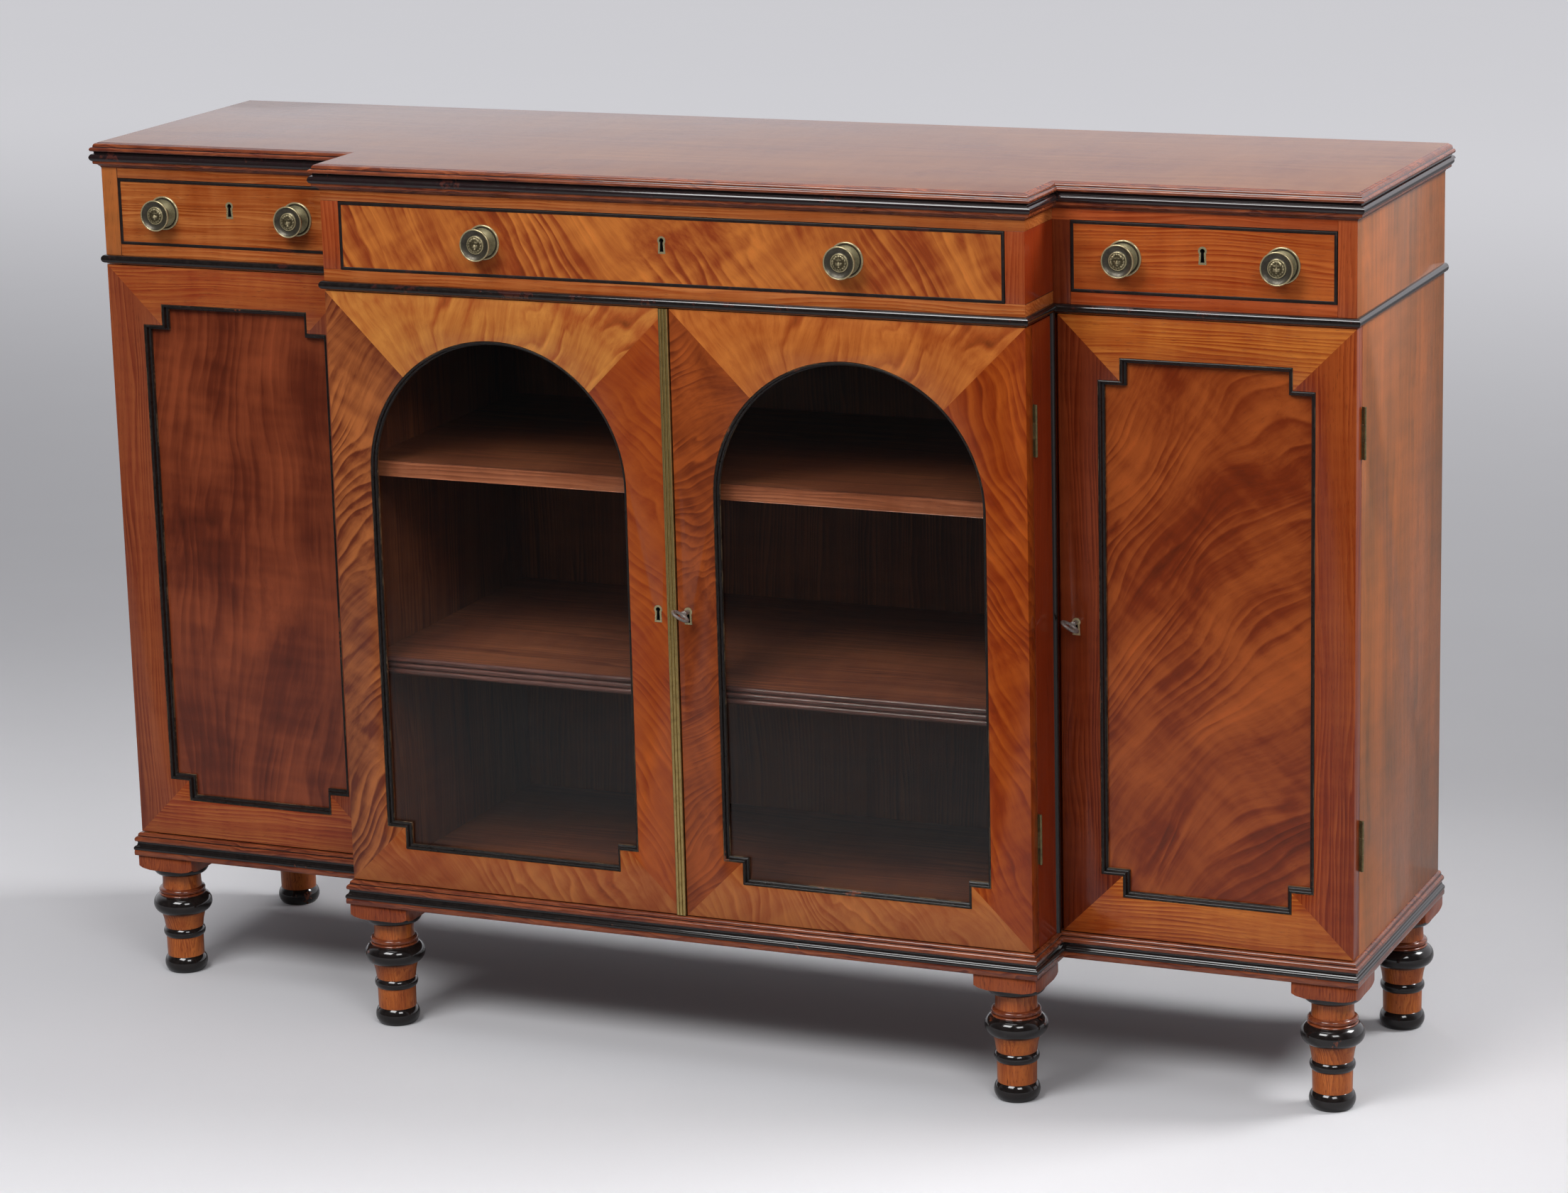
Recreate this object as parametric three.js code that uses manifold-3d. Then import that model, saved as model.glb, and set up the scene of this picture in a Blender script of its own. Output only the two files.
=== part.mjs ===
// A breakfront side cabinet: a projecting centre block with a pair of arched glazed doors stands
// between two wings with panelled doors. Three drawers run in the frieze, and six turned legs carry
// the case. Millimetres, +Z up, the front looks towards -Y, the origin is under the middle.

import * as THREE from 'three';
import { mergeVertices } from 'three/addons/utils/BufferGeometryUtils.js';
import Module from 'manifold-3d';

// Overall sizes of the case
const overallWidth = 1366;
const overallHeight = 920;
const centreWidth = 758;
const wingDepth = 313;
const breakProjection = 78;

// Heights that stack up from the floor; the cupboards take what is left
const legHeight = 137;
const plinthHeight = 25.5;
const dividerThickness = 21.8;
const drawerOpeningHeight = 70;
const topRailHeight = 23.1;
const topBoardThickness = 14.6;

// Boards
const endThickness = 19;
const partitionThickness = 20;
const wingStileWidth = 18.3;
const wingStileDepth = 30;
const topRailDepth = 40;
const backThickness = 10;
const halvingDepth = 190;
const shelfSetback = 28;
const upperShelfHeight = 610;
const upperShelfThickness = 16.5;
const lowerShelfHeight = 401;
const lowerShelfThickness = 18.5;

// Mouldings
const topOverhang = 9.3;
const topBackOverhang = 6;
const corniceOverhang = 9.2;
const corniceHeight = 12.4;
const waistProjection = 4.5;
const waistHeight = 9;
const waistDrop = 12;
const cornerBeadWidth = 9;
const cornerBeadProjection = 3.4;
const plinthOverhang = 7.4;

// Legs
const legInset = 29;
const legTorusRadius = 34.4;
const legBlockSide = 66;
const legBlockHeight = 16.5;

// Drawers and knobs
const drawerClearance = 0.4;
const drawerFrontThickness = 18;
const cockBeadWidth = 3;
const cockBeadProud = 1.2;
const drawerSideThickness = 10;
const drawerBottomThickness = 6;
const drawerSideClearance = 2;
const drawerBackClearance = 22;
const drawerTopClearance = 6;
const knobPlateRadius = 18;
const knobProjection = 21.3;
const wingKnobInset = 54.2;
const centreKnobInset = 163;

// Doors
const doorThickness = 19;
const doorGap = 0.6;
const doorFloorGap = 1;
const doorHeadGap = 0.7;
const doorSideGap = 1;
const wingDoorMargin = 40.3;
const wingNotch = 22.5;
const archHangingStile = 43;
const archMeetingStile = 47.5;
const archRailWidth = 38.6;
const archNotchWidth = 20.8;
const archNotchHeight = 23;
const panelMouldingWidth = 5.3;
const glazingMouldingWidth = 4.5;
const mouldingDepth = 8.5;
const mouldingFit = 0.3;
const panelThickness = 6;
const glassThickness = 2.5;
const stripWidth = 10.2;
const stripCentreShift = -0.8;
const stripProud = 3;
const stripLetIn = 5;
const stripReeds = 3;

// Hinges
const hingeHeight = 51.5;
const knuckleCount = 3;
const hingeTopDrop = 104;
const hingeFootRise = 111.5;
const leafWidth = 14;
const leafThickness = 1.1;
const leafOffset = 0.15;
const knuckleRadius = 2.5;
const hingePinRadius = 1.1;
const runningGap = 0.3;

// Locks and keys
const keyPlay = 0.5;
const keyholeSlotWidth = 2.8;
const keyholeSlotDrop = 9;
const keyholeDepth = 8;
const doorKeyHeight = 483;
const drawerKeyRise = 13.5;
const doorKeyInset = 16.5;
const lockMortiseWidth = 22;
const lockMortiseHeight = 34;
const lockMortiseFloor = 7;
const keyShaftRadius = 2.4;
const keyReach = 27;
const keyBowWidth = 21;
const keyBowDepth = 15;
const keyBowRadius = 1.9;
const keyBitLength = 7.5;
const keyBitWidth = 4.5;
const keyBitThickness = 1.8;
const keyBackGap = 1;
const keyTurn = THREE.MathUtils.degToRad(60);

// Facets
const legSides = 16;
const knobSides = 16;
const archSteps = 20;
const bowSteps = 14;
const reedSteps = 4;
const barrelSides = 10;
const overrun = 1;
const weldDistance = 1e-4;

// Sizes worked out from the ones above
const halfWidth = overallWidth / 2;
const halfCentre = centreWidth / 2;
const centreDepth = wingDepth + breakProjection;
const plinthTop = legHeight + plinthHeight;
const topUnderside = overallHeight - topBoardThickness;
const railUnderside = topUnderside - topRailHeight;
const dividerTop = railUnderside - drawerOpeningHeight;
const dividerUnderside = dividerTop - dividerThickness;
const doorFoot = plinthTop + doorFloorGap;
const doorHead = dividerUnderside - doorHeadGap;
const endInside = halfWidth - endThickness;
const partitionInside = halfCentre - partitionThickness;
const wingOpening = halfCentre + wingStileWidth;
const backInside = -backThickness;
const wingCarcassFront = -(wingDepth - doorThickness - doorGap);
const centreCarcassFront = -(centreDepth - doorThickness - doorGap);
const wingHingeY = wingCarcassFront - doorGap / 2;
const centreHingeY = centreCarcassFront - doorGap / 2;
const frontReach = centreDepth + keyReach;
const legTurnedHeight = legHeight - legBlockHeight;
const meetingLine = stripCentreShift + stripWidth / 2;
const wingDoorEdge = halfCentre + cornerBeadProjection + doorSideGap;
const archTop = doorHead - archHangingStile;
const keyholeRadius = keyShaftRadius + keyPlay;

// Profiles, as shares of a moulding's overhang and height, from the top down
const topEdgeShares = [[0.16, 1], [0.5, 0.89], [0.86, 0.69], [1, 0.55], [0.97, 0.43], [0.8, 0.24],
  [0.78, 0.1], [0.8, 0]];
const corniceShares = [[0, 1], [0.8, 1], [0.93, 0.88], [1, 0.72], [0.95, 0.57], [0.8, 0.44],
  [0.55, 0.32], [0.1, 0.25], [0.08, 0], [0, 0]];
const plinthShares = [[0, 1], [0.08, 1], [0.52, 0.91], [0.86, 0.8], [0.96, 0.7], [0.9, 0.6], [0.7, 0.52],
  [0.6, 0.46], [0.6, 0.36], [0.78, 0.31], [1, 0.24], [1, 0.12], [0.88, 0], [0, 0]];

// A leg's turned outline, as shares of the great ring's radius and of the turned height: foot, lower
// drum, thin ring, upper drum, great ring, bead, neck and dish
const legShares = [[0, 0], [0.56, 0], [0.66, 0.03], [0.69, 0.075], [0.62, 0.128], [0.555, 0.141],
  [0.575, 0.336], [0.65, 0.35], [0.675, 0.37], [0.65, 0.39], [0.63, 0.402], [0.715, 0.536],
  [0.86, 0.562], [0.96, 0.598],
  [1, 0.65], [0.97, 0.7], [0.88, 0.75], [0.76, 0.775], [0.77, 0.79], [0.72, 0.815], [0.6, 0.822],
  [0.61, 0.9], [0.71, 0.917], [0.83, 0.955], [0.85, 1], [0, 1]];

// The block's lower edges, as shares of its half side and height
const blockShares = [[0.76, 0], [0.9, 0.08], [0.97, 0.22], [1, 0.42], [1, 1]];

// A knob's outline, as shares of the plate's radius and of the projection: plate, neck, dish and boss
const knobShares = [[0, 0], [1, 0], [1, 0.06], [0.9, 0.13], [0.64, 0.1], [0.4, 0.22], [0.36, 0.5],
  [0.62, 0.66], [0.91, 0.78], [0.92, 0.88], [0.8, 0.87], [0.56, 0.77], [0.48, 0.8], [0.44, 0.92],
  [0.24, 0.99], [0, 1]];

// The section of a panel or glazing moulding, as shares of its width and depth
const mouldingShares = [[0, -0.08], [0.24, -0.1], [0.46, 0.1], [0.62, 0.42], [0.8, 0.56], [1, 0.68],
  [1, 1], [0, 1]];

const wasm = await Module();
wasm.setup();

function finish(color, roughness, metalness) {
  return new THREE.MeshStandardMaterial({ color, roughness, metalness });
}

const mahogany = finish(0x9c5224, 0.35, 0);
const darkMahogany = finish(0x743018, 0.35, 0);
const ebonised = finish(0x1e1a19, 0.3, 0);
const innerWood = finish(0x8a5a38, 0.6, 0);
const brass = finish(0x9a854c, 0.35, 1);
const steel = finish(0x77706b, 0.4, 1);
const paneGlass = finish(0xdfe6e2, 0.05, 0);

const cabinet = new THREE.Group();
cabinet.position.y = (frontReach - topBackOverhang) / 2;

function addPart(name, geometry, material, parent = cabinet) {
  const mesh = new THREE.Mesh(geometry, material);
  mesh.name = name;
  parent.add(mesh);
  return mesh;
}

// Solids are cut and joined as manifolds, and come back as geometries
function toSolid(geometry) {
  const bare = geometry.clone();
  bare.deleteAttribute('normal');
  bare.deleteAttribute('uv');
  const merged = mergeVertices(bare, weldDistance);
  return new wasm.Manifold(new wasm.Mesh({
    numProp: 3,
    vertProperties: new Float32Array(merged.attributes.position.array),
    triVerts: new Uint32Array(merged.index.array),
  }));
}

function toGeometry(solid) {
  const mesh = solid.getMesh();
  const geometry = new THREE.BufferGeometry();
  geometry.setAttribute('position', new THREE.Float32BufferAttribute(mesh.vertProperties, mesh.numProp));
  geometry.setIndex(Array.from(mesh.triVerts));
  return geometry;
}

function join(first, ...others) {
  return toGeometry(others.reduce((solid, other) => solid.add(toSolid(other)), toSolid(first)));
}

function cut(first, ...tools) {
  return toGeometry(tools.reduce((solid, tool) => solid.subtract(toSolid(tool)), toSolid(first)));
}

// A box from its low corner to its high corner
function boxBetween(low, high) {
  const size = high.map((value, axis) => value - low[axis]);
  const geometry = new THREE.BoxGeometry(...size);
  return geometry.translate(...low.map((value, axis) => value + size[axis] / 2));
}

// A box between two places in X given in either order, from low to high in Y and Z
function sideBox(oneX, otherX, [lowY, lowZ], [highY, highZ]) {
  return boxBetween([Math.min(oneX, otherX), lowY, lowZ], [Math.max(oneX, otherX), highY, highZ]);
}

// A cylinder along the Y axis, between two places on it
function barAlongY(radius, x, z, from, to, sides) {
  const geometry = new THREE.CylinderGeometry(radius, radius, to - from, sides);
  return geometry.translate(x, (from + to) / 2, z);
}

// A plan outline, extruded upwards
function boardFromPlan(points, foot, head) {
  const shape = new THREE.Shape(points.map(([x, y]) => new THREE.Vector2(x, y)));
  return new THREE.ExtrudeGeometry(shape, { depth: head - foot, bevelEnabled: false }).translate(0, 0, foot);
}

// The plan line of the case, grown outwards: back left, round the front, to back right
function planLine(growth, back = 0) {
  const left = [[-halfWidth - growth, back], [-halfWidth - growth, -wingDepth - growth],
    [-halfCentre - growth, -wingDepth - growth], [-halfCentre - growth, -centreDepth - growth]];
  return [...left, ...left.map(([x, y]) => [-x, y]).reverse()];
}

// Joins rings of points into a closed skin; the last ring meets the first, or flat ends close it
function skin(rings, options) {
  const count = rings[0].length;
  const indices = [];
  const spans = options.loop ? rings.length : rings.length - 1;
  for (let i = 0; i < spans; i += 1) {
    const near = i * count;
    const far = ((i + 1) % rings.length) * count;
    for (let j = 0; j < count; j += 1) {
      const next = (j + 1) % count;
      indices.push(near + j, far + j, far + next, near + j, far + next, near + next);
    }
  }
  if (!options.loop) {
    const last = (rings.length - 1) * count;
    const withRings = THREE.ShapeUtils.area(options.capOutline) > 0;
    THREE.ShapeUtils.triangulateShape(options.capOutline, []).forEach(([a, b, c]) => {
      const [second, third] = withRings ? [b, c] : [c, b];
      indices.push(a, second, third);
      indices.push(last + a, last + third, last + second);
    });
  }
  const geometry = new THREE.BufferGeometry();
  geometry.setAttribute('position', new THREE.Float32BufferAttribute(rings.flat(2), 3));
  geometry.setIndex(indices);
  return facingOut(geometry);
}

// Turns every face when the skin was wound inside out
function facingOut(geometry) {
  const position = geometry.attributes.position;
  const index = geometry.index.array;
  const corners = [0, 1, 2].map(() => new THREE.Vector3());
  let volume = 0;
  for (let i = 0; i < index.length; i += 3) {
    corners.forEach((corner, k) => corner.fromBufferAttribute(position, index[i + k]));
    volume += corners[0].dot(corners[1].clone().cross(corners[2]));
  }
  if (volume < 0) {
    const turned = [];
    for (let i = 0; i < index.length; i += 3) {
      turned.push(index[i], index[i + 2], index[i + 1]);
    }
    geometry.setIndex(turned);
  }
  return geometry;
}

// A moulding mitred round the front of the case, from a closed section of growths and heights
function mouldingRoundCase(section) {
  const lines = section.map(([growth, z]) => planLine(growth).map(([x, y]) => [x, y, z]));
  const rings = lines[0].map((_, corner) => lines.map((line) => line[corner]));
  const capOutline = section.map(([growth, z]) => new THREE.Vector2(growth, z));
  return skin(rings, { capOutline });
}

function scaledProfile(shares, width, height, base = 0) {
  return shares.map(([across, up]) => [across * width, base + up * height]);
}

// The top board: its edge profile follows the plan line and its back runs straight
function topBoard() {
  const profile = scaledProfile(topEdgeShares, topOverhang, topBoardThickness, topUnderside);
  const rings = profile.map(([growth, z]) => planLine(growth, topBackOverhang).map(([x, y]) => [x, y, z]));
  const capOutline = planLine(0, topBackOverhang).map(([x, y]) => new THREE.Vector2(x, y));
  return skin(rings, { capOutline });
}

// The waist bead is half round, and a half-round bead runs down each internal corner below it
function waistMoulding() {
  const middle = dividerTop - waistDrop - waistHeight / 2;
  const steps = reedSteps * 2;
  const section = [];
  for (let i = 0; i <= steps; i += 1) {
    const angle = Math.PI / 2 - (Math.PI * i) / steps;
    section.push([waistProjection * Math.cos(angle), middle + (waistHeight / 2) * Math.sin(angle)]);
  }
  const beads = [-1, 1].map((side) => {
    const outline = [];
    for (let i = 0; i <= steps; i += 1) {
      const angle = (Math.PI * i) / steps;
      outline.push([side * (halfCentre + cornerBeadProjection * Math.sin(angle)),
        -wingDepth - (cornerBeadWidth / 2) * (1 - Math.cos(angle))]);
    }
    return boardFromPlan(outline, plinthTop, middle);
  });
  return join(mouldingRoundCase(section), ...beads);
}

function plinthMoulding() {
  return mouldingRoundCase(scaledProfile(plinthShares, plinthOverhang, plinthHeight, legHeight));
}

function corniceMoulding() {
  const foot = topUnderside - corniceHeight;
  return mouldingRoundCase(scaledProfile(corniceShares, corniceOverhang, corniceHeight, foot));
}

// Cuts the two hinge seats of a door into a board edge; lean says on which side of the pin it lies
function hingeSeats(edge, side, axisY, lean) {
  const seatBack = axisY + lean * (leafOffset + leafThickness);
  return hingeFeet().map((foot) => sideBox(edge - side * leafWidth, edge + side * overrun,
    [Math.min(axisY, seatBack), foot], [Math.max(axisY, seatBack), foot + hingeHeight]));
}

function hingeFeet() {
  return [doorFoot + hingeFootRise - hingeHeight / 2, doorHead - hingeTopDrop - hingeHeight / 2];
}

// An end panel: its front edge steps back behind the door
function endPanel(side) {
  const board = sideBox(side * endInside, side * halfWidth, [-wingDepth, legHeight], [0, topUnderside]);
  const doorSpace = sideBox(side * (endInside - overrun), side * (halfWidth + overrun),
    [-wingDepth - overrun, plinthTop], [wingCarcassFront, dividerUnderside]);
  return cut(board, doorSpace, ...hingeSeats(side * halfWidth, side, wingHingeY, 1));
}

// A partition: it stands between bottom board and top rail, halved over the divider from the front
function partition(side) {
  const near = side * (partitionInside - overrun);
  const far = side * (halfCentre + overrun);
  const board = sideBox(side * partitionInside, side * halfCentre, [-centreDepth, plinthTop],
    [backInside, railUnderside]);
  const doorSpace = sideBox(near, far, [-centreDepth - overrun, plinthTop - overrun],
    [centreCarcassFront, dividerUnderside]);
  const halving = sideBox(near, far, [-centreDepth - overrun, dividerUnderside - overrun],
    [-halvingDepth, dividerTop]);
  return cut(board, doorSpace, halving, ...hingeSeats(side * halfCentre, side, centreHingeY, 1));
}

function breakfrontPlan(wingEnd, wingFront, centreFront) {
  return [[-wingEnd, backInside], [-wingEnd, wingFront], [-halfCentre, wingFront],
    [-halfCentre, centreFront], [halfCentre, centreFront], [halfCentre, wingFront], [wingEnd, wingFront],
    [wingEnd, backInside]];
}

function bottomBoard() {
  return boardFromPlan(breakfrontPlan(endInside, -wingDepth, -centreDepth), legHeight, plinthTop);
}

// The divider under the drawers, halved over the partitions from behind
function dividerBoard() {
  const plan = breakfrontPlan(endInside, -wingDepth, -centreDepth);
  const board = boardFromPlan(plan, dividerUnderside, dividerTop);
  const foot = dividerUnderside - overrun;
  const head = dividerTop + overrun;
  const slots = [-1, 1].map((side) => sideBox(side * partitionInside, side * halfCentre,
    [-halvingDepth, foot], [backInside + overrun, head]));
  const stilePassages = [-1, 1].map((side) => sideBox(side * halfCentre, side * wingOpening,
    [-wingDepth - overrun, foot], [-wingDepth + wingStileDepth, head]));
  return cut(board, ...slots, ...stilePassages);
}

// The top rail over the drawers, with the stile at the inner side of each wing
function frontFrame() {
  const wingFront = -wingDepth;
  const plan = [[-endInside, wingFront + topRailDepth], [-endInside, wingFront], [-halfCentre, wingFront],
    [-halfCentre, -centreDepth], [halfCentre, -centreDepth], [halfCentre, wingFront], [endInside, wingFront],
    [endInside, wingFront + topRailDepth], [partitionInside, wingFront + topRailDepth],
    [partitionInside, -centreDepth + topRailDepth], [-partitionInside, -centreDepth + topRailDepth],
    [-partitionInside, wingFront + topRailDepth]];
  const rail = boardFromPlan(plan, railUnderside, topUnderside);
  const stiles = [-1, 1].map((side) => {
    const post = sideBox(side * halfCentre, side * wingOpening, [wingFront, plinthTop],
      [wingFront + wingStileDepth, railUnderside + overrun]);
    const doorSpace = sideBox(side * (halfCentre - overrun), side * (wingOpening + overrun),
      [wingFront - overrun, plinthTop - overrun], [wingCarcassFront, dividerUnderside]);
    return cut(post, doorSpace);
  });
  return join(rail, ...stiles);
}

function backPanel() {
  return boxBetween([-endInside, backInside, legHeight], [endInside, 0, topUnderside]);
}

function shelf(top, thickness) {
  const front = -centreDepth + shelfSetback;
  return boxBetween([-partitionInside, front, top - thickness], [partitionInside, backInside, top]);
}

// A leg: a turned column under a square block with rounded lower edges
function leg() {
  const profile = scaledProfile(legShares, legTorusRadius, legTurnedHeight)
    .map(([radius, z]) => new THREE.Vector2(radius, z));
  const column = new THREE.LatheGeometry(profile, legSides).rotateX(Math.PI / 2);
  const rings = scaledProfile(blockShares, legBlockSide / 2, legBlockHeight, legTurnedHeight)
    .map(([half, z]) => [[-half, -half, z], [half, -half, z], [half, half, z], [-half, half, z]]);
  const capOutline = rings[0].map(([x, y]) => new THREE.Vector2(x, y));
  return join(facingOut(column), skin(rings, { capOutline }));
}

function legPlaces() {
  const wingX = halfWidth - legInset;
  const centreX = halfCentre - legInset;
  return {
    leg_front_left: [-wingX, -wingDepth + legInset],
    leg_centre_left: [-centreX, -centreDepth + legInset],
    leg_centre_right: [centreX, -centreDepth + legInset],
    leg_front_right: [wingX, -wingDepth + legInset],
    leg_back_left: [-wingX, -legInset],
    leg_back_right: [wingX, -legInset],
  };
}

// A keyhole that goes into a face looking towards -Y
function keyhole(x, z, face, depth) {
  const eye = barAlongY(keyholeRadius, x, z, face - overrun, face + depth, barrelSides);
  const slot = boxBetween([x - keyholeSlotWidth / 2, face - overrun, z - keyholeSlotDrop],
    [x + keyholeSlotWidth / 2, face + depth, z]);
  return join(eye, slot);
}

// A drawer: a beaded front that closes its opening, and an open-topped box behind it
function drawer(left, right, face) {
  const low = [left + drawerClearance, face, dividerTop];
  const high = [right - drawerClearance, face + drawerFrontThickness, railUnderside - drawerClearance];
  const front = boxBetween([low[0], low[1] - cockBeadProud, low[2]], high);
  const bead = cockBeadWidth;
  const field = boxBetween([low[0] + bead, low[1] - cockBeadProud - overrun, low[2] + bead],
    [high[0] - bead, low[1], high[2] - bead]);
  const boxLow = [left + drawerSideClearance, high[1], low[2]];
  const boxBack = backInside - drawerBackClearance;
  const boxHigh = [right - drawerSideClearance, boxBack, high[2] - drawerTopClearance];
  const shell = boxBetween([boxLow[0], boxLow[1] - overrun, boxLow[2]], boxHigh);
  const space = boxBetween([boxLow[0] + drawerSideThickness, boxLow[1], boxLow[2] + drawerBottomThickness],
    [boxHigh[0] - drawerSideThickness, boxHigh[1] - drawerSideThickness, boxHigh[2] + overrun]);
  const middle = (left + right) / 2;
  const keyZ = (low[2] + high[2]) / 2 + drawerKeyRise;
  return cut(join(front, shell), field, space, keyhole(middle, keyZ, face, keyholeDepth));
}

// A knob turned about the Y axis, standing on a drawer's face
function knob() {
  const profile = scaledProfile(knobShares, knobPlateRadius, knobProjection)
    .map(([radius, out]) => new THREE.Vector2(radius, out));
  return facingOut(new THREE.LatheGeometry(profile, knobSides).rotateX(Math.PI));
}

// An opening with re-entrant square corners, drawn smaller by an inset: square-headed or arched
function notchedOpening(opening, inset) {
  const half = opening.width / 2 - inset;
  const foot = opening.foot + inset;
  const head = opening.head - inset;
  const lower = [[-half + opening.notchWidth, foot], [half - opening.notchWidth, foot],
    [half - opening.notchWidth, foot + opening.notchHeight], [half, foot + opening.notchHeight]];
  const upper = [];
  if (opening.arched) {
    for (let i = 0; i <= archSteps; i += 1) {
      const angle = (Math.PI * i) / archSteps;
      upper.push([half * Math.cos(angle), head - half + half * Math.sin(angle)]);
    }
  } else {
    upper.push([half, head - opening.notchHeight], [half - opening.notchWidth, head - opening.notchHeight],
      [half - opening.notchWidth, head], [-half + opening.notchWidth, head],
      [-half + opening.notchWidth, head - opening.notchHeight], [-half, head - opening.notchHeight]);
  }
  const outline = [...lower, ...upper, [-half, foot + opening.notchHeight],
    [-half + opening.notchWidth, foot + opening.notchHeight]];
  return outline.map(([x, z]) => [x + opening.middle, z]);
}

// A flat outline in X and Z, made solid from its front depth to its back depth
function plateFromOutline(outline, front, back, hole = null) {
  const shape = new THREE.Shape(outline.map(([x, z]) => new THREE.Vector2(x, z)));
  if (hole) {
    shape.holes.push(new THREE.Path(hole.map(([x, z]) => new THREE.Vector2(x, z))));
  }
  const geometry = new THREE.ExtrudeGeometry(shape, { depth: back - front, bevelEnabled: false });
  return geometry.rotateX(Math.PI / 2).translate(0, back, 0);
}

function rectangle(left, right, foot, head) {
  return [[left, foot], [right, foot], [right, head], [left, head]];
}

// The moulding that lines an opening: its section runs round the outline
function openingMoulding(opening, face, width) {
  const rings = mouldingShares.map(([across, deep]) => {
    const inset = mouldingFit + across * (width - mouldingFit);
    return notchedOpening(opening, inset).map(([x, z]) => [x, face + deep * mouldingDepth, z]);
  });
  return skin(rings, { loop: true });
}

function doorFiller(opening, face, thickness) {
  const front = face + mouldingDepth;
  return plateFromOutline(notchedOpening(opening, mouldingFit), front, front + thickness);
}

// The pocket behind a keyhole, open at the back, where the lock case lies
function lockMortise(x, face) {
  const foot = doorKeyHeight - lockMortiseHeight / 2;
  return boxBetween([x - lockMortiseWidth / 2, face + lockMortiseFloor, foot],
    [x + lockMortiseWidth / 2, face + doorThickness + overrun, foot + lockMortiseHeight]);
}

function doorFrame(door, ...cuts) {
  const outline = rectangle(door.left, door.right, doorFoot, doorHead);
  const opening = notchedOpening(door.opening, 0);
  const blank = plateFromOutline(outline, door.face, door.face + doorThickness, opening);
  return cut(blank, keyhole(door.keyX, doorKeyHeight, door.face, lockMortiseFloor + overrun),
    lockMortise(door.keyX, door.face), ...hingeSeats(door.hingeEdge, door.side, door.hingeY, -1), ...cuts);
}

function wingDoor(side) {
  const left = Math.min(side * wingDoorEdge, side * halfWidth);
  const right = Math.max(side * wingDoorEdge, side * halfWidth);
  return {
    side,
    left,
    right,
    face: -wingDepth,
    hingeEdge: side * halfWidth,
    hingeY: wingHingeY,
    keyX: side * (wingDoorEdge + doorKeyInset),
    opening: {
      middle: (left + right) / 2,
      width: right - left - 2 * wingDoorMargin,
      foot: doorFoot + wingDoorMargin,
      head: doorHead - wingDoorMargin,
      notchWidth: wingNotch,
      notchHeight: wingNotch,
      arched: false,
    },
  };
}

function archedDoor(side) {
  const meeting = side < 0 ? meetingLine : meetingLine + doorSideGap;
  const openingInner = side * archMeetingStile;
  const openingOuter = side * (halfCentre - archHangingStile);
  return {
    side,
    left: Math.min(meeting, side * halfCentre),
    right: Math.max(meeting, side * halfCentre),
    face: -centreDepth,
    hingeEdge: side * halfCentre,
    hingeY: centreHingeY,
    keyX: side * doorKeyInset,
    opening: {
      middle: (openingInner + openingOuter) / 2,
      width: Math.abs(openingOuter - openingInner),
      foot: doorFoot + archRailWidth,
      head: archTop,
      notchWidth: archNotchWidth,
      notchHeight: archNotchHeight,
      arched: true,
    },
  };
}

// The brass strip on the left arched door's meeting edge: reeds in front, a square back let in
function meetingStrip() {
  const left = meetingLine - stripWidth;
  const reed = stripWidth / stripReeds;
  const outline = [[meetingLine, -centreDepth + stripLetIn], [left, -centreDepth + stripLetIn]];
  for (let i = 0; i < stripReeds; i += 1) {
    for (let k = i === 0 ? 0 : 1; k <= reedSteps; k += 1) {
      const angle = (Math.PI * k) / reedSteps;
      outline.push([left + reed * i + (reed / 2) * (1 - Math.cos(angle)),
        -centreDepth - stripProud + (reed / 2) * (1 - Math.sin(angle))]);
    }
  }
  return boardFromPlan(outline, doorFoot, doorHead);
}

function stripRebate() {
  return boxBetween([meetingLine - stripWidth, -centreDepth - overrun, doorFoot - overrun],
    [meetingLine + overrun, -centreDepth + stripLetIn, doorHead + overrun]);
}

// Hinges: the fixed leaf carries the outer knuckles and the pin, the door's leaf the middle knuckle
function hingeLeaf(edge, side, axisY, foot, lean) {
  const axisX = edge + side * (knuckleRadius + runningGap);
  const knuckleHeight = hingeHeight / knuckleCount;
  const near = axisY + lean * leafOffset;
  const far = axisY + lean * (leafOffset + leafThickness);
  const slab = (oneX, otherX, low, high) => sideBox(oneX, otherX, [Math.min(near, far), low],
    [Math.max(near, far), high]);
  const plate = slab(edge - side * leafWidth, edge, foot, foot + hingeHeight);
  const tongue = (low, high) => slab(edge - side * overrun, axisX, low, high);
  const barrel = (radius, low, high) => new THREE.CylinderGeometry(radius, radius, high - low, barrelSides)
    .rotateX(Math.PI / 2).translate(axisX, axisY, (low + high) / 2);
  const middleLow = foot + knuckleHeight;
  const middleHigh = foot + hingeHeight - knuckleHeight;
  if (lean > 0) {
    const pin = barrel(hingePinRadius, foot + overrun, foot + hingeHeight - overrun);
    return join(plate, tongue(foot, middleLow), tongue(middleHigh, foot + hingeHeight),
      barrel(knuckleRadius, foot, middleLow), barrel(knuckleRadius, middleHigh, foot + hingeHeight), pin);
  }
  const bore = barrel(hingePinRadius + runningGap, foot, foot + hingeHeight);
  const knuckle = barrel(knuckleRadius, middleLow + runningGap, middleHigh - runningGap);
  return cut(join(plate, tongue(middleLow + runningGap, middleHigh - runningGap), knuckle), bore);
}

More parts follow.
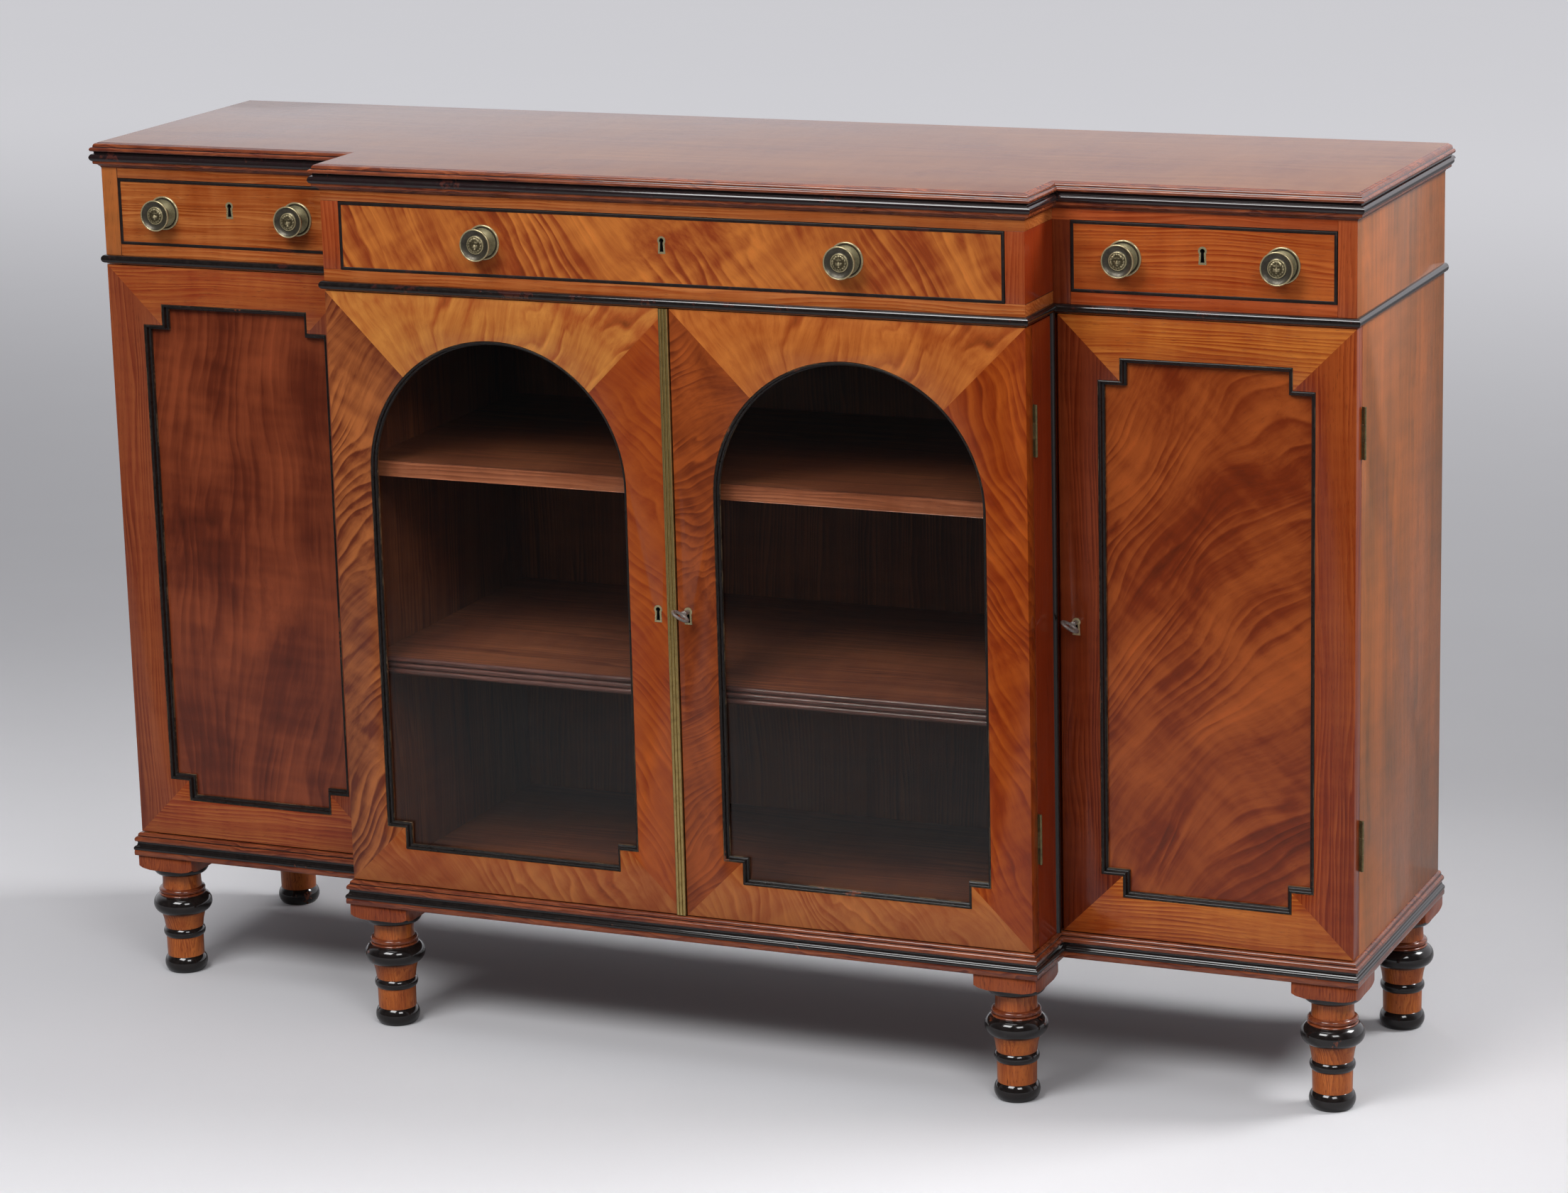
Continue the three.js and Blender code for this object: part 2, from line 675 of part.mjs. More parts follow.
// A key: an oval bow, a shaft through the keyhole and a bit inside the lock
function key() {
  const bowMiddle = -keyReach + keyBowDepth / 2;
  const rings = [];
  for (let i = 0; i < bowSteps; i += 1) {
    const angle = (2 * Math.PI * i) / bowSteps;
    const ring = [];
    for (let k = 0; k < reedSteps * 2; k += 1) {
      const turn = (Math.PI * k) / reedSteps;
      const inward = keyBowRadius * (1 - Math.cos(turn));
      ring.push([(keyBowWidth / 2 - inward) * Math.cos(angle),
        bowMiddle + (keyBowDepth / 2 - inward) * Math.sin(angle), keyBowRadius * Math.sin(turn)]);
    }
    rings.push(ring);
  }
  const bitEnd = doorThickness - keyBackGap;
  const shaftStart = bowMiddle + keyBowDepth / 2 - keyBowRadius;
  const shaft = barAlongY(keyShaftRadius, 0, 0, shaftStart, bitEnd, barrelSides);
  const bit = boxBetween([0, bitEnd - keyBitWidth, -keyBitThickness / 2],
    [keyBitLength, bitEnd, keyBitThickness / 2]);
  return join(skin(rings, { loop: true }), shaft, bit);
}

// The case
addPart('top_board', topBoard(), mahogany);
addPart('cornice_moulding', corniceMoulding(), ebonised);
addPart('end_left', endPanel(-1), mahogany);
addPart('end_right', endPanel(1), mahogany);
addPart('partition_left', partition(-1), mahogany);
addPart('partition_right', partition(1), mahogany);
addPart('bottom_board', bottomBoard(), mahogany);
addPart('divider_board', dividerBoard(), mahogany);
addPart('front_frame', frontFrame(), mahogany);
addPart('back_panel', backPanel(), innerWood);
addPart('waist_moulding', waistMoulding(), ebonised);
addPart('plinth_moulding', plinthMoulding(), ebonised);
addPart('shelf_upper', shelf(upperShelfHeight, upperShelfThickness), mahogany);
addPart('shelf_lower', shelf(lowerShelfHeight, lowerShelfThickness), mahogany);

Object.entries(legPlaces()).forEach(([name, [x, y]]) => {
  addPart(name, leg(), mahogany).position.set(x, y, 0);
});

// The drawers and their knobs
const drawerPlaces = [
  ['left', -endInside, -wingOpening, -wingDepth, wingKnobInset],
  ['centre', -partitionInside, partitionInside, -centreDepth, centreKnobInset],
  ['right', wingOpening, endInside, -wingDepth, wingKnobInset],
];
drawerPlaces.forEach(([name, left, right, face, inset]) => {
  addPart(`drawer_${name}`, drawer(left, right, face), mahogany);
  Object.entries({ a: left + inset, b: right - inset }).forEach(([letter, x]) => {
    addPart(`knob_${name}_${letter}`, knob(), brass).position.set(x, face, (dividerTop + railUnderside) / 2);
  });
});

// The doors, their hinges and their keys
const doors = {
  wing_left: wingDoor(-1),
  wing_right: wingDoor(1),
  arch_left: archedDoor(-1),
  arch_right: archedDoor(1),
};
Object.entries(doors).forEach(([name, door]) => {
  const width = door.opening.arched ? glazingMouldingWidth : panelMouldingWidth;
  const rebates = name === 'arch_left' ? [stripRebate()] : [];
  addPart(`door_${name}`, doorFrame(door, ...rebates), mahogany);
  addPart(`moulding_${name}`, openingMoulding(door.opening, door.face, width), ebonised);
  if (door.opening.arched) {
    addPart(`glass_${name}`, doorFiller(door.opening, door.face, glassThickness), paneGlass);
  } else {
    addPart(`panel_${name}`, doorFiller(door.opening, door.face, panelThickness), darkMahogany);
  }
  ['lower', 'upper'].forEach((level, i) => {
    const foot = hingeFeet()[i];
    const leaf = (lean) => hingeLeaf(door.hingeEdge, door.side, door.hingeY, foot, lean);
    addPart(`hinge_${name}_${level}_fixed`, leaf(1), brass);
    addPart(`hinge_${name}_${level}_door`, leaf(-1), brass);
  });
});
addPart('meeting_strip', meetingStrip(), brass);

['wing_right', 'arch_right'].forEach((name) => {
  const door = doors[name];
  const mesh = addPart(`key_${name}`, key(), steel);
  mesh.position.set(door.keyX, door.face, doorKeyHeight);
  mesh.rotation.y = Math.PI / 2 - keyTurn;
});

export default cabinet;
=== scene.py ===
"""Fine form and finish of a mahogany breakfront side cabinet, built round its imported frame.

Places and sizes are in metres in the frame's own axes: +X to the right, -Y to the front, +Z up.
Colours are written as sRGB hex.
"""

from __future__ import annotations

import logging
import math
from collections.abc import Callable, Iterable, Iterator, Sequence
from dataclasses import dataclass, replace
from enum import Enum
from itertools import pairwise
from typing import ClassVar

import bmesh
import bpy
from bmesh.types import BMEdge, BMesh, BMFace, BMVert
from mathutils import Matrix, Vector

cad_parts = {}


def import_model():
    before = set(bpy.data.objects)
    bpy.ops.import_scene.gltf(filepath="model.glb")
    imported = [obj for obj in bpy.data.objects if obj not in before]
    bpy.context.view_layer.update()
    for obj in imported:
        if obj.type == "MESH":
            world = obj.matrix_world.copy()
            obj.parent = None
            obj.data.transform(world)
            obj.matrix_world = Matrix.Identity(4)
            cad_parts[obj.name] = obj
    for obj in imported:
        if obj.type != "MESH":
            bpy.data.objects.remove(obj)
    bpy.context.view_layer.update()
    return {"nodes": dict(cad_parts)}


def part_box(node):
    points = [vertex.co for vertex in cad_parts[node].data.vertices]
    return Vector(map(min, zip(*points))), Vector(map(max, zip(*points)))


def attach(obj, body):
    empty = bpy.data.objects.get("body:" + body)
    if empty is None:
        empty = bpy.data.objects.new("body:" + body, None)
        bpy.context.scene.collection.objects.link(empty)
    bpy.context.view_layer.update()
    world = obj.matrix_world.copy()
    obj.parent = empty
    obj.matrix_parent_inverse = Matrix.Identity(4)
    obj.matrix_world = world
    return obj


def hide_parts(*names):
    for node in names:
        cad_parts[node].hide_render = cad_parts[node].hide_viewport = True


LOG = logging.getLogger("cabinet")

# Points nearer than WELD are one point, faces that meet within FLAT are one face, and edges past
# CREASE stay sharp. An arc takes a step for each ARC_STEP.
WELD = 2e-6
FLAT = math.radians(0.5)
CREASE = math.radians(32)
ARC_STEP = math.radians(14)
MILLIMETRE = 0.001

X_AXIS, Y_AXIS, Z_AXIS = Vector((1, 0, 0)), Vector((0, 1, 0)), Vector((0, 0, 1))

Flat = tuple[float, float]
Triple = tuple[float, float, float]
Value = float | Sequence[float] | bpy.types.NodeSocket


def linear(colour: str) -> tuple[float, float, float, float]:
    """Turns an sRGB hex colour into the linear RGBA that shaders take.

    Args:
        colour: The colour, written as #rrggbb.

    Returns:
        Red, green, blue and an alpha of 1.
    """
    parts = [int(colour[i : i + 2], 16) / 255 for i in (1, 3, 5)]
    red, green, blue = (c / 12.92 if c <= 0.04045 else ((c + 0.055) / 1.055) ** 2.4 for c in parts)
    return red, green, blue, 1.0


# Finishes


class NodeBench:
    """A node tree, with short ways to add what the finishes share."""

    def __init__(self, tree: bpy.types.NodeTree) -> None:
        """Takes the tree to work on."""
        self.tree = tree

    def add(self, kind: str, **settings: object) -> bpy.types.Node:
        """Adds a node of one kind with its settings.

        Args:
            kind: The node's type.
            **settings: Its properties, by name.

        Returns:
            The node.
        """
        node = self.tree.nodes.new(kind)
        for name, value in settings.items():
            setattr(node, name, value)
        return node

    def feed(self, socket: bpy.types.NodeSocket, value: Value) -> None:
        """Links a socket to another, or sets the number or colour that it holds.

        Args:
            socket: The input that is fed.
            value: The output that feeds it, or a constant.
        """
        if isinstance(value, bpy.types.NodeSocket):
            self.tree.links.new(value, socket)
        else:
            socket.default_value = value

    def fed(self, node: bpy.types.Node, values: dict[int | str, Value], output: int | str = 0) -> Value:
        """Feeds a node's inputs.

        Args:
            node: The node.
            values: What feeds its inputs, by number or name.
            output: The number or name of the output that is wanted.

        Returns:
            That output.
        """
        for key, value in values.items():
            self.feed(node.inputs[key], value)
        return node.outputs[output]

    def math(self, operation: str, one: Value, other: Value = 0.0) -> Value:
        """Gives what a Math node works out from two values."""
        return self.fed(self.add("ShaderNodeMath", operation=operation), {0: one, 1: other})

    def scaled(self, value: Value, weight: float, offset: float) -> Value:
        """Gives a value times a weight, plus an offset."""
        node = self.add("ShaderNodeMath", operation="MULTIPLY_ADD")
        return self.fed(node, {0: value, 1: weight, 2: offset})

    def vector(self, operation: str, one: Value, other: Value) -> Value:
        """Gives what a Vector Math node works out from two vectors."""
        return self.fed(self.add("ShaderNodeVectorMath", operation=operation), {0: one, 1: other})

    def place(self, centre: Sequence[float] = (0, 0, 0), turn: Sequence[float] = (0, 0, 0)) -> Value:
        """Gives Object coordinates in a pattern's own axes.

        Args:
            centre: Where the pattern is centred.
            turn: The Euler angles that its axes are turned by.

        Returns:
            The coordinates.
        """
        where = self.add("ShaderNodeTexCoord").outputs["Object"]
        mapping = self.add("ShaderNodeMapping", vector_type="TEXTURE")
        return self.fed(mapping, {"Vector": where, "Location": centre, "Rotation": turn})

    def parts(self, vector: Value) -> tuple[Value, Value, Value]:
        """Gives a vector's three numbers."""
        return tuple(self.fed(self.add("ShaderNodeSeparateXYZ"), {0: vector}).node.outputs)

    def joined(self, x: Value, y: Value, z: Value) -> Value:
        """Gives the vector of three numbers."""
        return self.fed(self.add("ShaderNodeCombineXYZ"), {0: x, 1: y, 2: z})

    def fanned(self, where: Value, radius: float) -> Value:
        """Turns places in X and Z to polar ones, so that grain fans out.

        Args:
            where: The places, measured from the fan's centre.
            radius: The radius at which a length round the fan is true.

        Returns:
            The reach from the centre, the length round it, and the depth.
        """
        x, y, z = self.parts(where)
        angle = self.math("ARCTAN2", x, z)
        reach = self.math("SQRT", self.math("ADD", self.math("POWER", x, 2.0), self.math("POWER", z, 2.0)))
        return self.joined(reach, self.math("MULTIPLY", angle, radius), y)

    def noise(self, where: Value, size: Sequence[float], detail: float, soft: float) -> Value:
        """Gives noise whose features are about as long, wide and deep as size says."""
        return self.noise_node(where, size, detail, soft).outputs[0]

    def noise_node(self, where: Value, size: Sequence[float], detail: float, soft: float) -> bpy.types.Node:
        """Adds a Noise Texture node on stretched coordinates.

        Args:
            where: The coordinates.
            size: How long, wide and deep its features are.
            detail: How many finer layers it has.
            soft: How strongly the finer layers show.

        Returns:
            The node.
        """
        node = self.add("ShaderNodeTexNoise")
        stretched = self.vector("DIVIDE", where, tuple(size))
        self.fed(node, {"Vector": stretched, "Scale": 1.0, "Detail": detail, "Roughness": soft})
        return node

    def swayed(self, where: Value, size: Sequence[float], reach: Sequence[float]) -> Value:
        """Bends coordinates by noise.

        Args:
            where: The coordinates.
            size: How far apart the bends lie each way.
            reach: Twice the furthest that a place moves, each way.

        Returns:
            The bent coordinates.
        """
        colour = self.noise_node(where, size, 1.5, 0.45).outputs[1]
        bend = self.vector("MULTIPLY", self.vector("SUBTRACT", colour, (0.5, 0.5, 0.5)), tuple(reach))
        return self.vector("ADD", where, bend)

    def above(self, value: Value, low: float, high: float) -> Value:
        """Rises smoothly from 0 at low to 1 at high."""
        node = self.add("ShaderNodeMapRange", interpolation_type="SMOOTHSTEP")
        return self.fed(node, {"Value": value, "From Min": low, "From Max": high})

    def total(self, start: Value, *terms: tuple[Value, float]) -> Value:
        """Adds up weighted values.

        Args:
            start: What they are added to.
            *terms: The values, each with the weight of its distance from a half.

        Returns:
            The sum.
        """
        result = start
        for value, weight in terms:
            centred = self.math("SUBTRACT", value, 0.5)
            result = self.math("ADD", result, self.math("MULTIPLY", centred, weight))
        return result

    def ramp(self, factor: Value, stops: Sequence[tuple[float, Sequence[float]]]) -> Value:
        """Turns a number to a colour.

        Args:
            factor: The number, from 0 to 1.
            stops: The ramp's stops, each a place and a linear colour.

        Returns:
            The colour.
        """
        node = self.add("ShaderNodeValToRGB")
        elements = node.color_ramp.elements
        while len(elements) < len(stops):
            elements.new(1.0)
        for element, (position, colour) in zip(elements, stops):
            element.position = position
            element.color = (*colour[:3], 1.0)
        return self.fed(node, {0: factor})

    def mix(self, factor: Value, one: Value, other: Value, blend: str = "MIX") -> Value:
        """Mixes two colours."""
        node = self.add("ShaderNodeMix", data_type="RGBA", blend_type=blend, clamp_factor=True)
        return self.fed(node, {0: factor, 6: one, 7: other}, 2)

    def blend(self, factor: Value, low: Value, high: Value) -> Value:
        """Mixes two numbers."""
        return self.fed(self.add("ShaderNodeMix", data_type="FLOAT"), {0: factor, 2: low, 3: high})

    def bump(self, height: Value, depth: float) -> Value:
        """Gives the normal of a surface raised by height times depth."""
        node = self.add("ShaderNodeBump")
        return self.fed(node, {"Height": height, "Distance": depth, "Strength": 1.0})


class PolishBench(NodeBench):
    """A new material's node tree, which ends in a Principled shader."""

    def __init__(self, name: str) -> None:
        """Starts a material that holds the shader alone.

        Args:
            name: The material's name.
        """
        self.material = bpy.data.materials.new(name)
        self.material.use_nodes = True
        super().__init__(self.material.node_tree)
        self.tree.nodes.clear()
        self.shader = self.add("ShaderNodeBsdfPrincipled")
        output = self.add("ShaderNodeOutputMaterial")
        self.tree.links.new(self.shader.outputs[0], output.inputs["Surface"])

    def shade(self, **values: Value) -> None:
        """Feeds the shader's sockets, named with underscores for spaces."""
        for name, value in values.items():
            self.feed(self.shader.inputs[name.replace("_", " ")], value)


class Finish:
    """A finish that is laid once and then shared by every piece that asks for it."""

    name: str

    def material(self) -> bpy.types.Material:
        """Gives the finish's material, laid at its first use.

        Returns:
            The material.
        """
        made = bpy.data.materials.get(self.name)
        if made is None:
            bench = PolishBench(self.name)
            self.lay(bench)
            made = bench.material
        return made

    def lay(self, bench: PolishBench) -> None:
        """Fills in the bench's nodes."""
        raise NotImplementedError


class Grain(Enum):
    """The ways that grain runs, each as the turn that lays a pattern's X axis along it."""

    ACROSS = (0.0, 0.0, 0.0)
    UPRIGHT = (0.0, -math.pi / 2, 0.0)
    BACKWARD = (0.0, 0.0, math.pi / 2)


@dataclass(frozen=True)
class Mahogany(Finish):
    """French-polished mahogany, its figure drawn along and across the grain.

    Dark and pale are the tones of its ordinary streaks, and the deepest and palest lie past them.
    Tilt is how many degrees the grain leans from its run. A fan radius lays it out from the centre,
    and a plume makes it fall away from the centre's upright line. Sway is how far it wanders, and
    bend how far apart its wanders lie. Ring, streak, length, curl and cloud are sizes in metres, and
    rings, streaks, bands, fibres, curls, clouds and pores say how strongly each shows.
    """

    name: str
    dark: str
    pale: str
    run: Grain = Grain.ACROSS
    tilt: float = 0.0
    centre: Triple = (0.0, 0.0, 0.0)
    fan: float = 0.0
    plume: float = 0.0
    sway: float = 0.004
    bend: float = 0.30
    ring: float = 0.0045
    rings: float = 0.22
    drift: float = 1.6
    streak: float = 0.0022
    length: float = 0.30
    streaks: float = 0.45
    bands: float = 0.45
    fibres: float = 0.16
    curl: float = 0.016
    curls: float = 0.10
    cloud: float = 0.12
    clouds: float = 0.45
    pores: float = 0.40
    roughness: float = 0.34
    polish: float = 0.5

    DEEPEST: ClassVar[float] = 0.50
    PALEST: ClassVar[float] = 1.30
    STOPS: ClassVar[tuple[float, ...]] = (0.05, 0.33, 0.67, 0.95)
    FIBRE_SIZE: ClassVar[Triple] = (0.045, 0.0011, 0.0011)
    PORE_SIZE: ClassVar[Triple] = (0.009, 0.0006, 0.0006)
    PORE_TINT: ClassVar[str] = "#84705f"
    PLUME_TIP: ClassVar[float] = 0.0006
    RELIEF: ClassVar[float] = 0.00010
    COAT: ClassVar[dict[str, float]] = {
        "Coat_Roughness": 0.12, "Coat_IOR": 1.5, "Specular_IOR_Level": 0.18}

    def grain(self, bench: PolishBench, board: Value) -> Value:
        """Gives places measured along and across the grain.

        Args:
            bench: The material's bench.
            board: Places measured from the figure's centre.

        Returns:
            The places along, across and into the grain.
        """
        if self.fan:
            grain = bench.fanned(board, self.fan)
        else:
            about_x, about_y, about_z = self.run.value
            grain = bench.place(self.centre, (about_x, about_y + math.radians(self.tilt), about_z))
        if self.plume:
            x = bench.parts(board)[0]
            fall = bench.math("SQRT", bench.math("ADD", bench.math("POWER", x, 2.0), self.PLUME_TIP))
            drop = bench.joined(0.0, 0.0, bench.math("MULTIPLY", fall, self.plume))
            grain = bench.vector("ADD", grain, drop)
        size = (self.bend, self.bend * 0.6, self.bend * 0.6)
        grain = bench.swayed(grain, size, (0.0, self.sway * 5, self.sway * 5))
        small = [part * 0.25 for part in size]
        return bench.swayed(grain, small, (0.0, self.sway * 0.7, self.sway * 0.7))

    def ring_lines(self, bench: PolishBench, grain: Value) -> Value:
        """Draws the growth rings that the cut crosses, each with one crisp edge and one soft.

        Args:
            bench: The material's bench.
            grain: Places along and across the grain.

        Returns:
            How far each place is over or under the wood's middle tone.
        """
        _, y, z = bench.parts(grain)
        wide = self.ring * 4
        drift = bench.noise(grain, (self.length, wide, wide), 2.0, 0.5)
        place = bench.math("DIVIDE", bench.math("ADD", z, bench.math("MULTIPLY", y, 0.5)), self.ring)
        ring = bench.math("FRACT", bench.math("ADD", place, bench.math("MULTIPLY", drift, self.drift * 3)))
        line = bench.math("MULTIPLY", bench.above(ring, 0.0, 0.2), bench.math("SUBTRACT", 1.0, ring))
        patches = bench.noise(grain, (self.length * 0.6, wide * 1.5, wide * 1.5), 1.0, 0.5)
        shown = bench.above(patches, 0.36, 0.62)
        return bench.math("MULTIPLY", bench.math("SUBTRACT", line, 0.42), shown)

    def lay(self, bench: PolishBench) -> None:
        """Lays rings, streaks, bands, ripple, fibres, clouds and pores under a clear polish.

        Args:
            bench: The material's bench.
        """
        board = bench.place(self.centre)
        grain = self.grain(bench, board)
        thin, wide = self.streak, self.ring * 3
        streak = bench.noise(grain, (self.length * 0.5, thin, thin), 3.0, 0.6)
        band = bench.noise(grain, (self.length * 1.6, wide, wide), 2.0, 0.5)
        ripple = bench.noise(grain, (self.curl, self.curl * 3.5, self.curl * 3.5), 1.5, 0.5)
        fibre = bench.noise(grain, self.FIBRE_SIZE, 2.0, 0.6)
        cloud = bench.noise(board, (self.cloud, self.cloud, self.cloud * 1.3), 2.5, 0.5)
        pore = bench.above(bench.noise(grain, self.PORE_SIZE, 1.0, 0.5), 0.62, 0.74)
        rings = bench.scaled(self.ring_lines(bench, grain), self.rings * 2, 0.5)
        tone = bench.total(rings, (streak, self.streaks), (band, self.bands), (ripple, self.curls * 2),
                           (fibre, self.fibres), (cloud, self.clouds))
        dark, pale = Vector(linear(self.dark)), Vector(linear(self.pale))
        tones = (dark * self.DEEPEST, dark, pale, pale * self.PALEST)
        wood = bench.ramp(tone, tuple(zip(self.STOPS, tones)))
        shade = bench.mix(1.0, wood, linear(self.PORE_TINT), "MULTIPLY")
        bench.shade(Base_Color=bench.mix(bench.math("MULTIPLY", pore, self.pores), wood, shade))
        height = bench.total(0.0, (pore, -0.6), (fibre, 0.5), (cloud, 2.0))
        bench.shade(Roughness=bench.total(self.roughness, (fibre, 0.10), (cloud, 0.12)),
                    Normal=bench.bump(height, self.RELIEF), Coat_Weight=self.polish, **self.COAT)


@dataclass(frozen=True)
class Flame(Mahogany):
    """A veneer cut at the crotch of the tree, its wide swaying figure laid at a slant."""

    sway: float = 0.020
    bend: float = 0.28
    ring: float = 0.010
    drift: float = 1.4
    streak: float = 0.004
    length: float = 0.18
    bands: float = 0.5
    curls: float = 0.2
    fibres: float = 0.10
    pores: float = 0.15


@dataclass(frozen=True)
class Ebonised(Finish):
    """Black polish over mahogany, worn back to red-brown in patches.

    Wear is how much of it is worn, from 0 to 1, and run how long, wide and deep a worn patch is.
    """

    name: str
    black: str = "#171312"
    worn: str = "#6a3520"
    wear: float = 0.20
    run: Triple = (0.05, 0.05, 0.05)
    roughness: float = 0.14
    polish: float = 0.8

    DUST: ClassVar[str] = "#251f1d"
    SPECK_SIZE: ClassVar[Triple] = (0.004, 0.004, 0.004)
    RELIEF: ClassVar[float] = 0.00004

    def lay(self, bench: PolishBench) -> None:
        """Lays black, worn patches and a slightly uneven gloss.

        Args:
            bench: The material's bench.
        """
        where = bench.place()
        patches = bench.noise(where, self.run, 3.0, 0.6)
        specks = bench.noise(where, self.SPECK_SIZE, 2.0, 0.5)
        edge = 0.73 - self.wear * 0.3
        worn = bench.above(bench.total(patches, (specks, 0.35)), edge, edge + 0.06)
        grime = bench.ramp(specks, ((0.35, linear(self.black)), (0.75, linear(self.DUST))))
        bench.shade(Base_Color=bench.mix(worn, grime, linear(self.worn)),
                    Roughness=bench.total(self.roughness, (specks, 0.12), (patches, 0.08)),
                    Normal=bench.bump(bench.total(0.0, (specks, 1.0), (patches, 2.0)), self.RELIEF),
                    Specular_IOR_Level=0.28, Coat_Weight=self.polish, Coat_Roughness=0.06)


@dataclass(frozen=True)
class Metal(Finish):
    """Old metal: bright where it's rubbed and brown where it isn't.

    Tarnish is how far the dull tone covers it, and relief the piece's layer whose heights are rubbed.
    """

    name: str
    bright: str
    dull: str
    tarnish: float = 0.45
    roughness: float = 0.38
    shine: float = 0.6
    relief: str = ""

    CLOUD_SIZE: ClassVar[Triple] = (0.006, 0.006, 0.006)
    GRIME_SIZE: ClassVar[Triple] = (0.0012, 0.0012, 0.0012)
    DENTS: ClassVar[float] = 0.00005

    def lay(self, bench: PolishBench) -> None:
        """Lays the rubbed and dull tones, parted by noise or by the piece's own relief.

        Args:
            bench: The material's bench.
        """
        where = bench.place()
        clouds = bench.noise(where, self.CLOUD_SIZE, 3.0, 0.6)
        grime = bench.noise(where, self.GRIME_SIZE, 2.0, 0.5)
        cover = bench.total(self.tarnish, (clouds, 0.9), (grime, 0.35))
        if self.relief:
            height = bench.add("ShaderNodeAttribute", attribute_name=self.relief).outputs["Fac"]
            cover = bench.math("SUBTRACT", cover, bench.math("MULTIPLY", height, 0.9))
        cover = bench.above(cover, 0.1, 0.9)
        bench.shade(Base_Color=bench.mix(cover, linear(self.bright), linear(self.dull)),
                    Metallic=self.shine,
                    Roughness=bench.total(self.roughness, (cover, 0.22), (grime, 0.1)),
                    Normal=bench.bump(bench.total(0.0, (clouds, 0.6), (grime, 0.5)), self.DENTS))


@dataclass(frozen=True)
class PaintedShade(Finish):
    """Painted shade: the near-black inside of a lock seen through a keyhole, also laid on the floors of screw
    slots.
    """

    name: str = "keyhole_painted_shade"
    deep: str = "#0b0908"
    paler_shade: str = "#1f1815"

    def lay(self, bench: PolishBench) -> None:
        """Lays near-black painted shade, mottled by noise.

        Args:
            bench: The material's bench.
        """
        shade_mottle = bench.noise(bench.place(), (0.002, 0.002, 0.002), 2.0, 0.5)
        dark = bench.ramp(shade_mottle, ((0.3, linear(self.deep)), (0.8, linear(self.paler_shade))))
        bench.shade(Base_Color=dark, Roughness=0.9)


@dataclass(frozen=True)
class OldGlass(Finish):
    """Clear old glass, with the slight unevenness of blown sheet."""

    name: str = "old_glass"
    tint: str = "#eef3ef"
    bending: float = 1.3
    wave_size: Triple = (0.16, 0.16, 0.24)
    wave_depth: float = 0.00015

    def lay(self, bench: PolishBench) -> None:
        """Lays clear glass with a wavy surface.

        Args:
            bench: The material's bench.
        """
        waves = bench.noise(bench.place(), self.wave_size, 0.0, 0.5)
        bench.shade(Base_Color=linear(self.tint), Roughness=0.0, IOR=self.bending,
                    Transmission_Weight=1.0, Normal=bench.bump(waves, self.wave_depth))


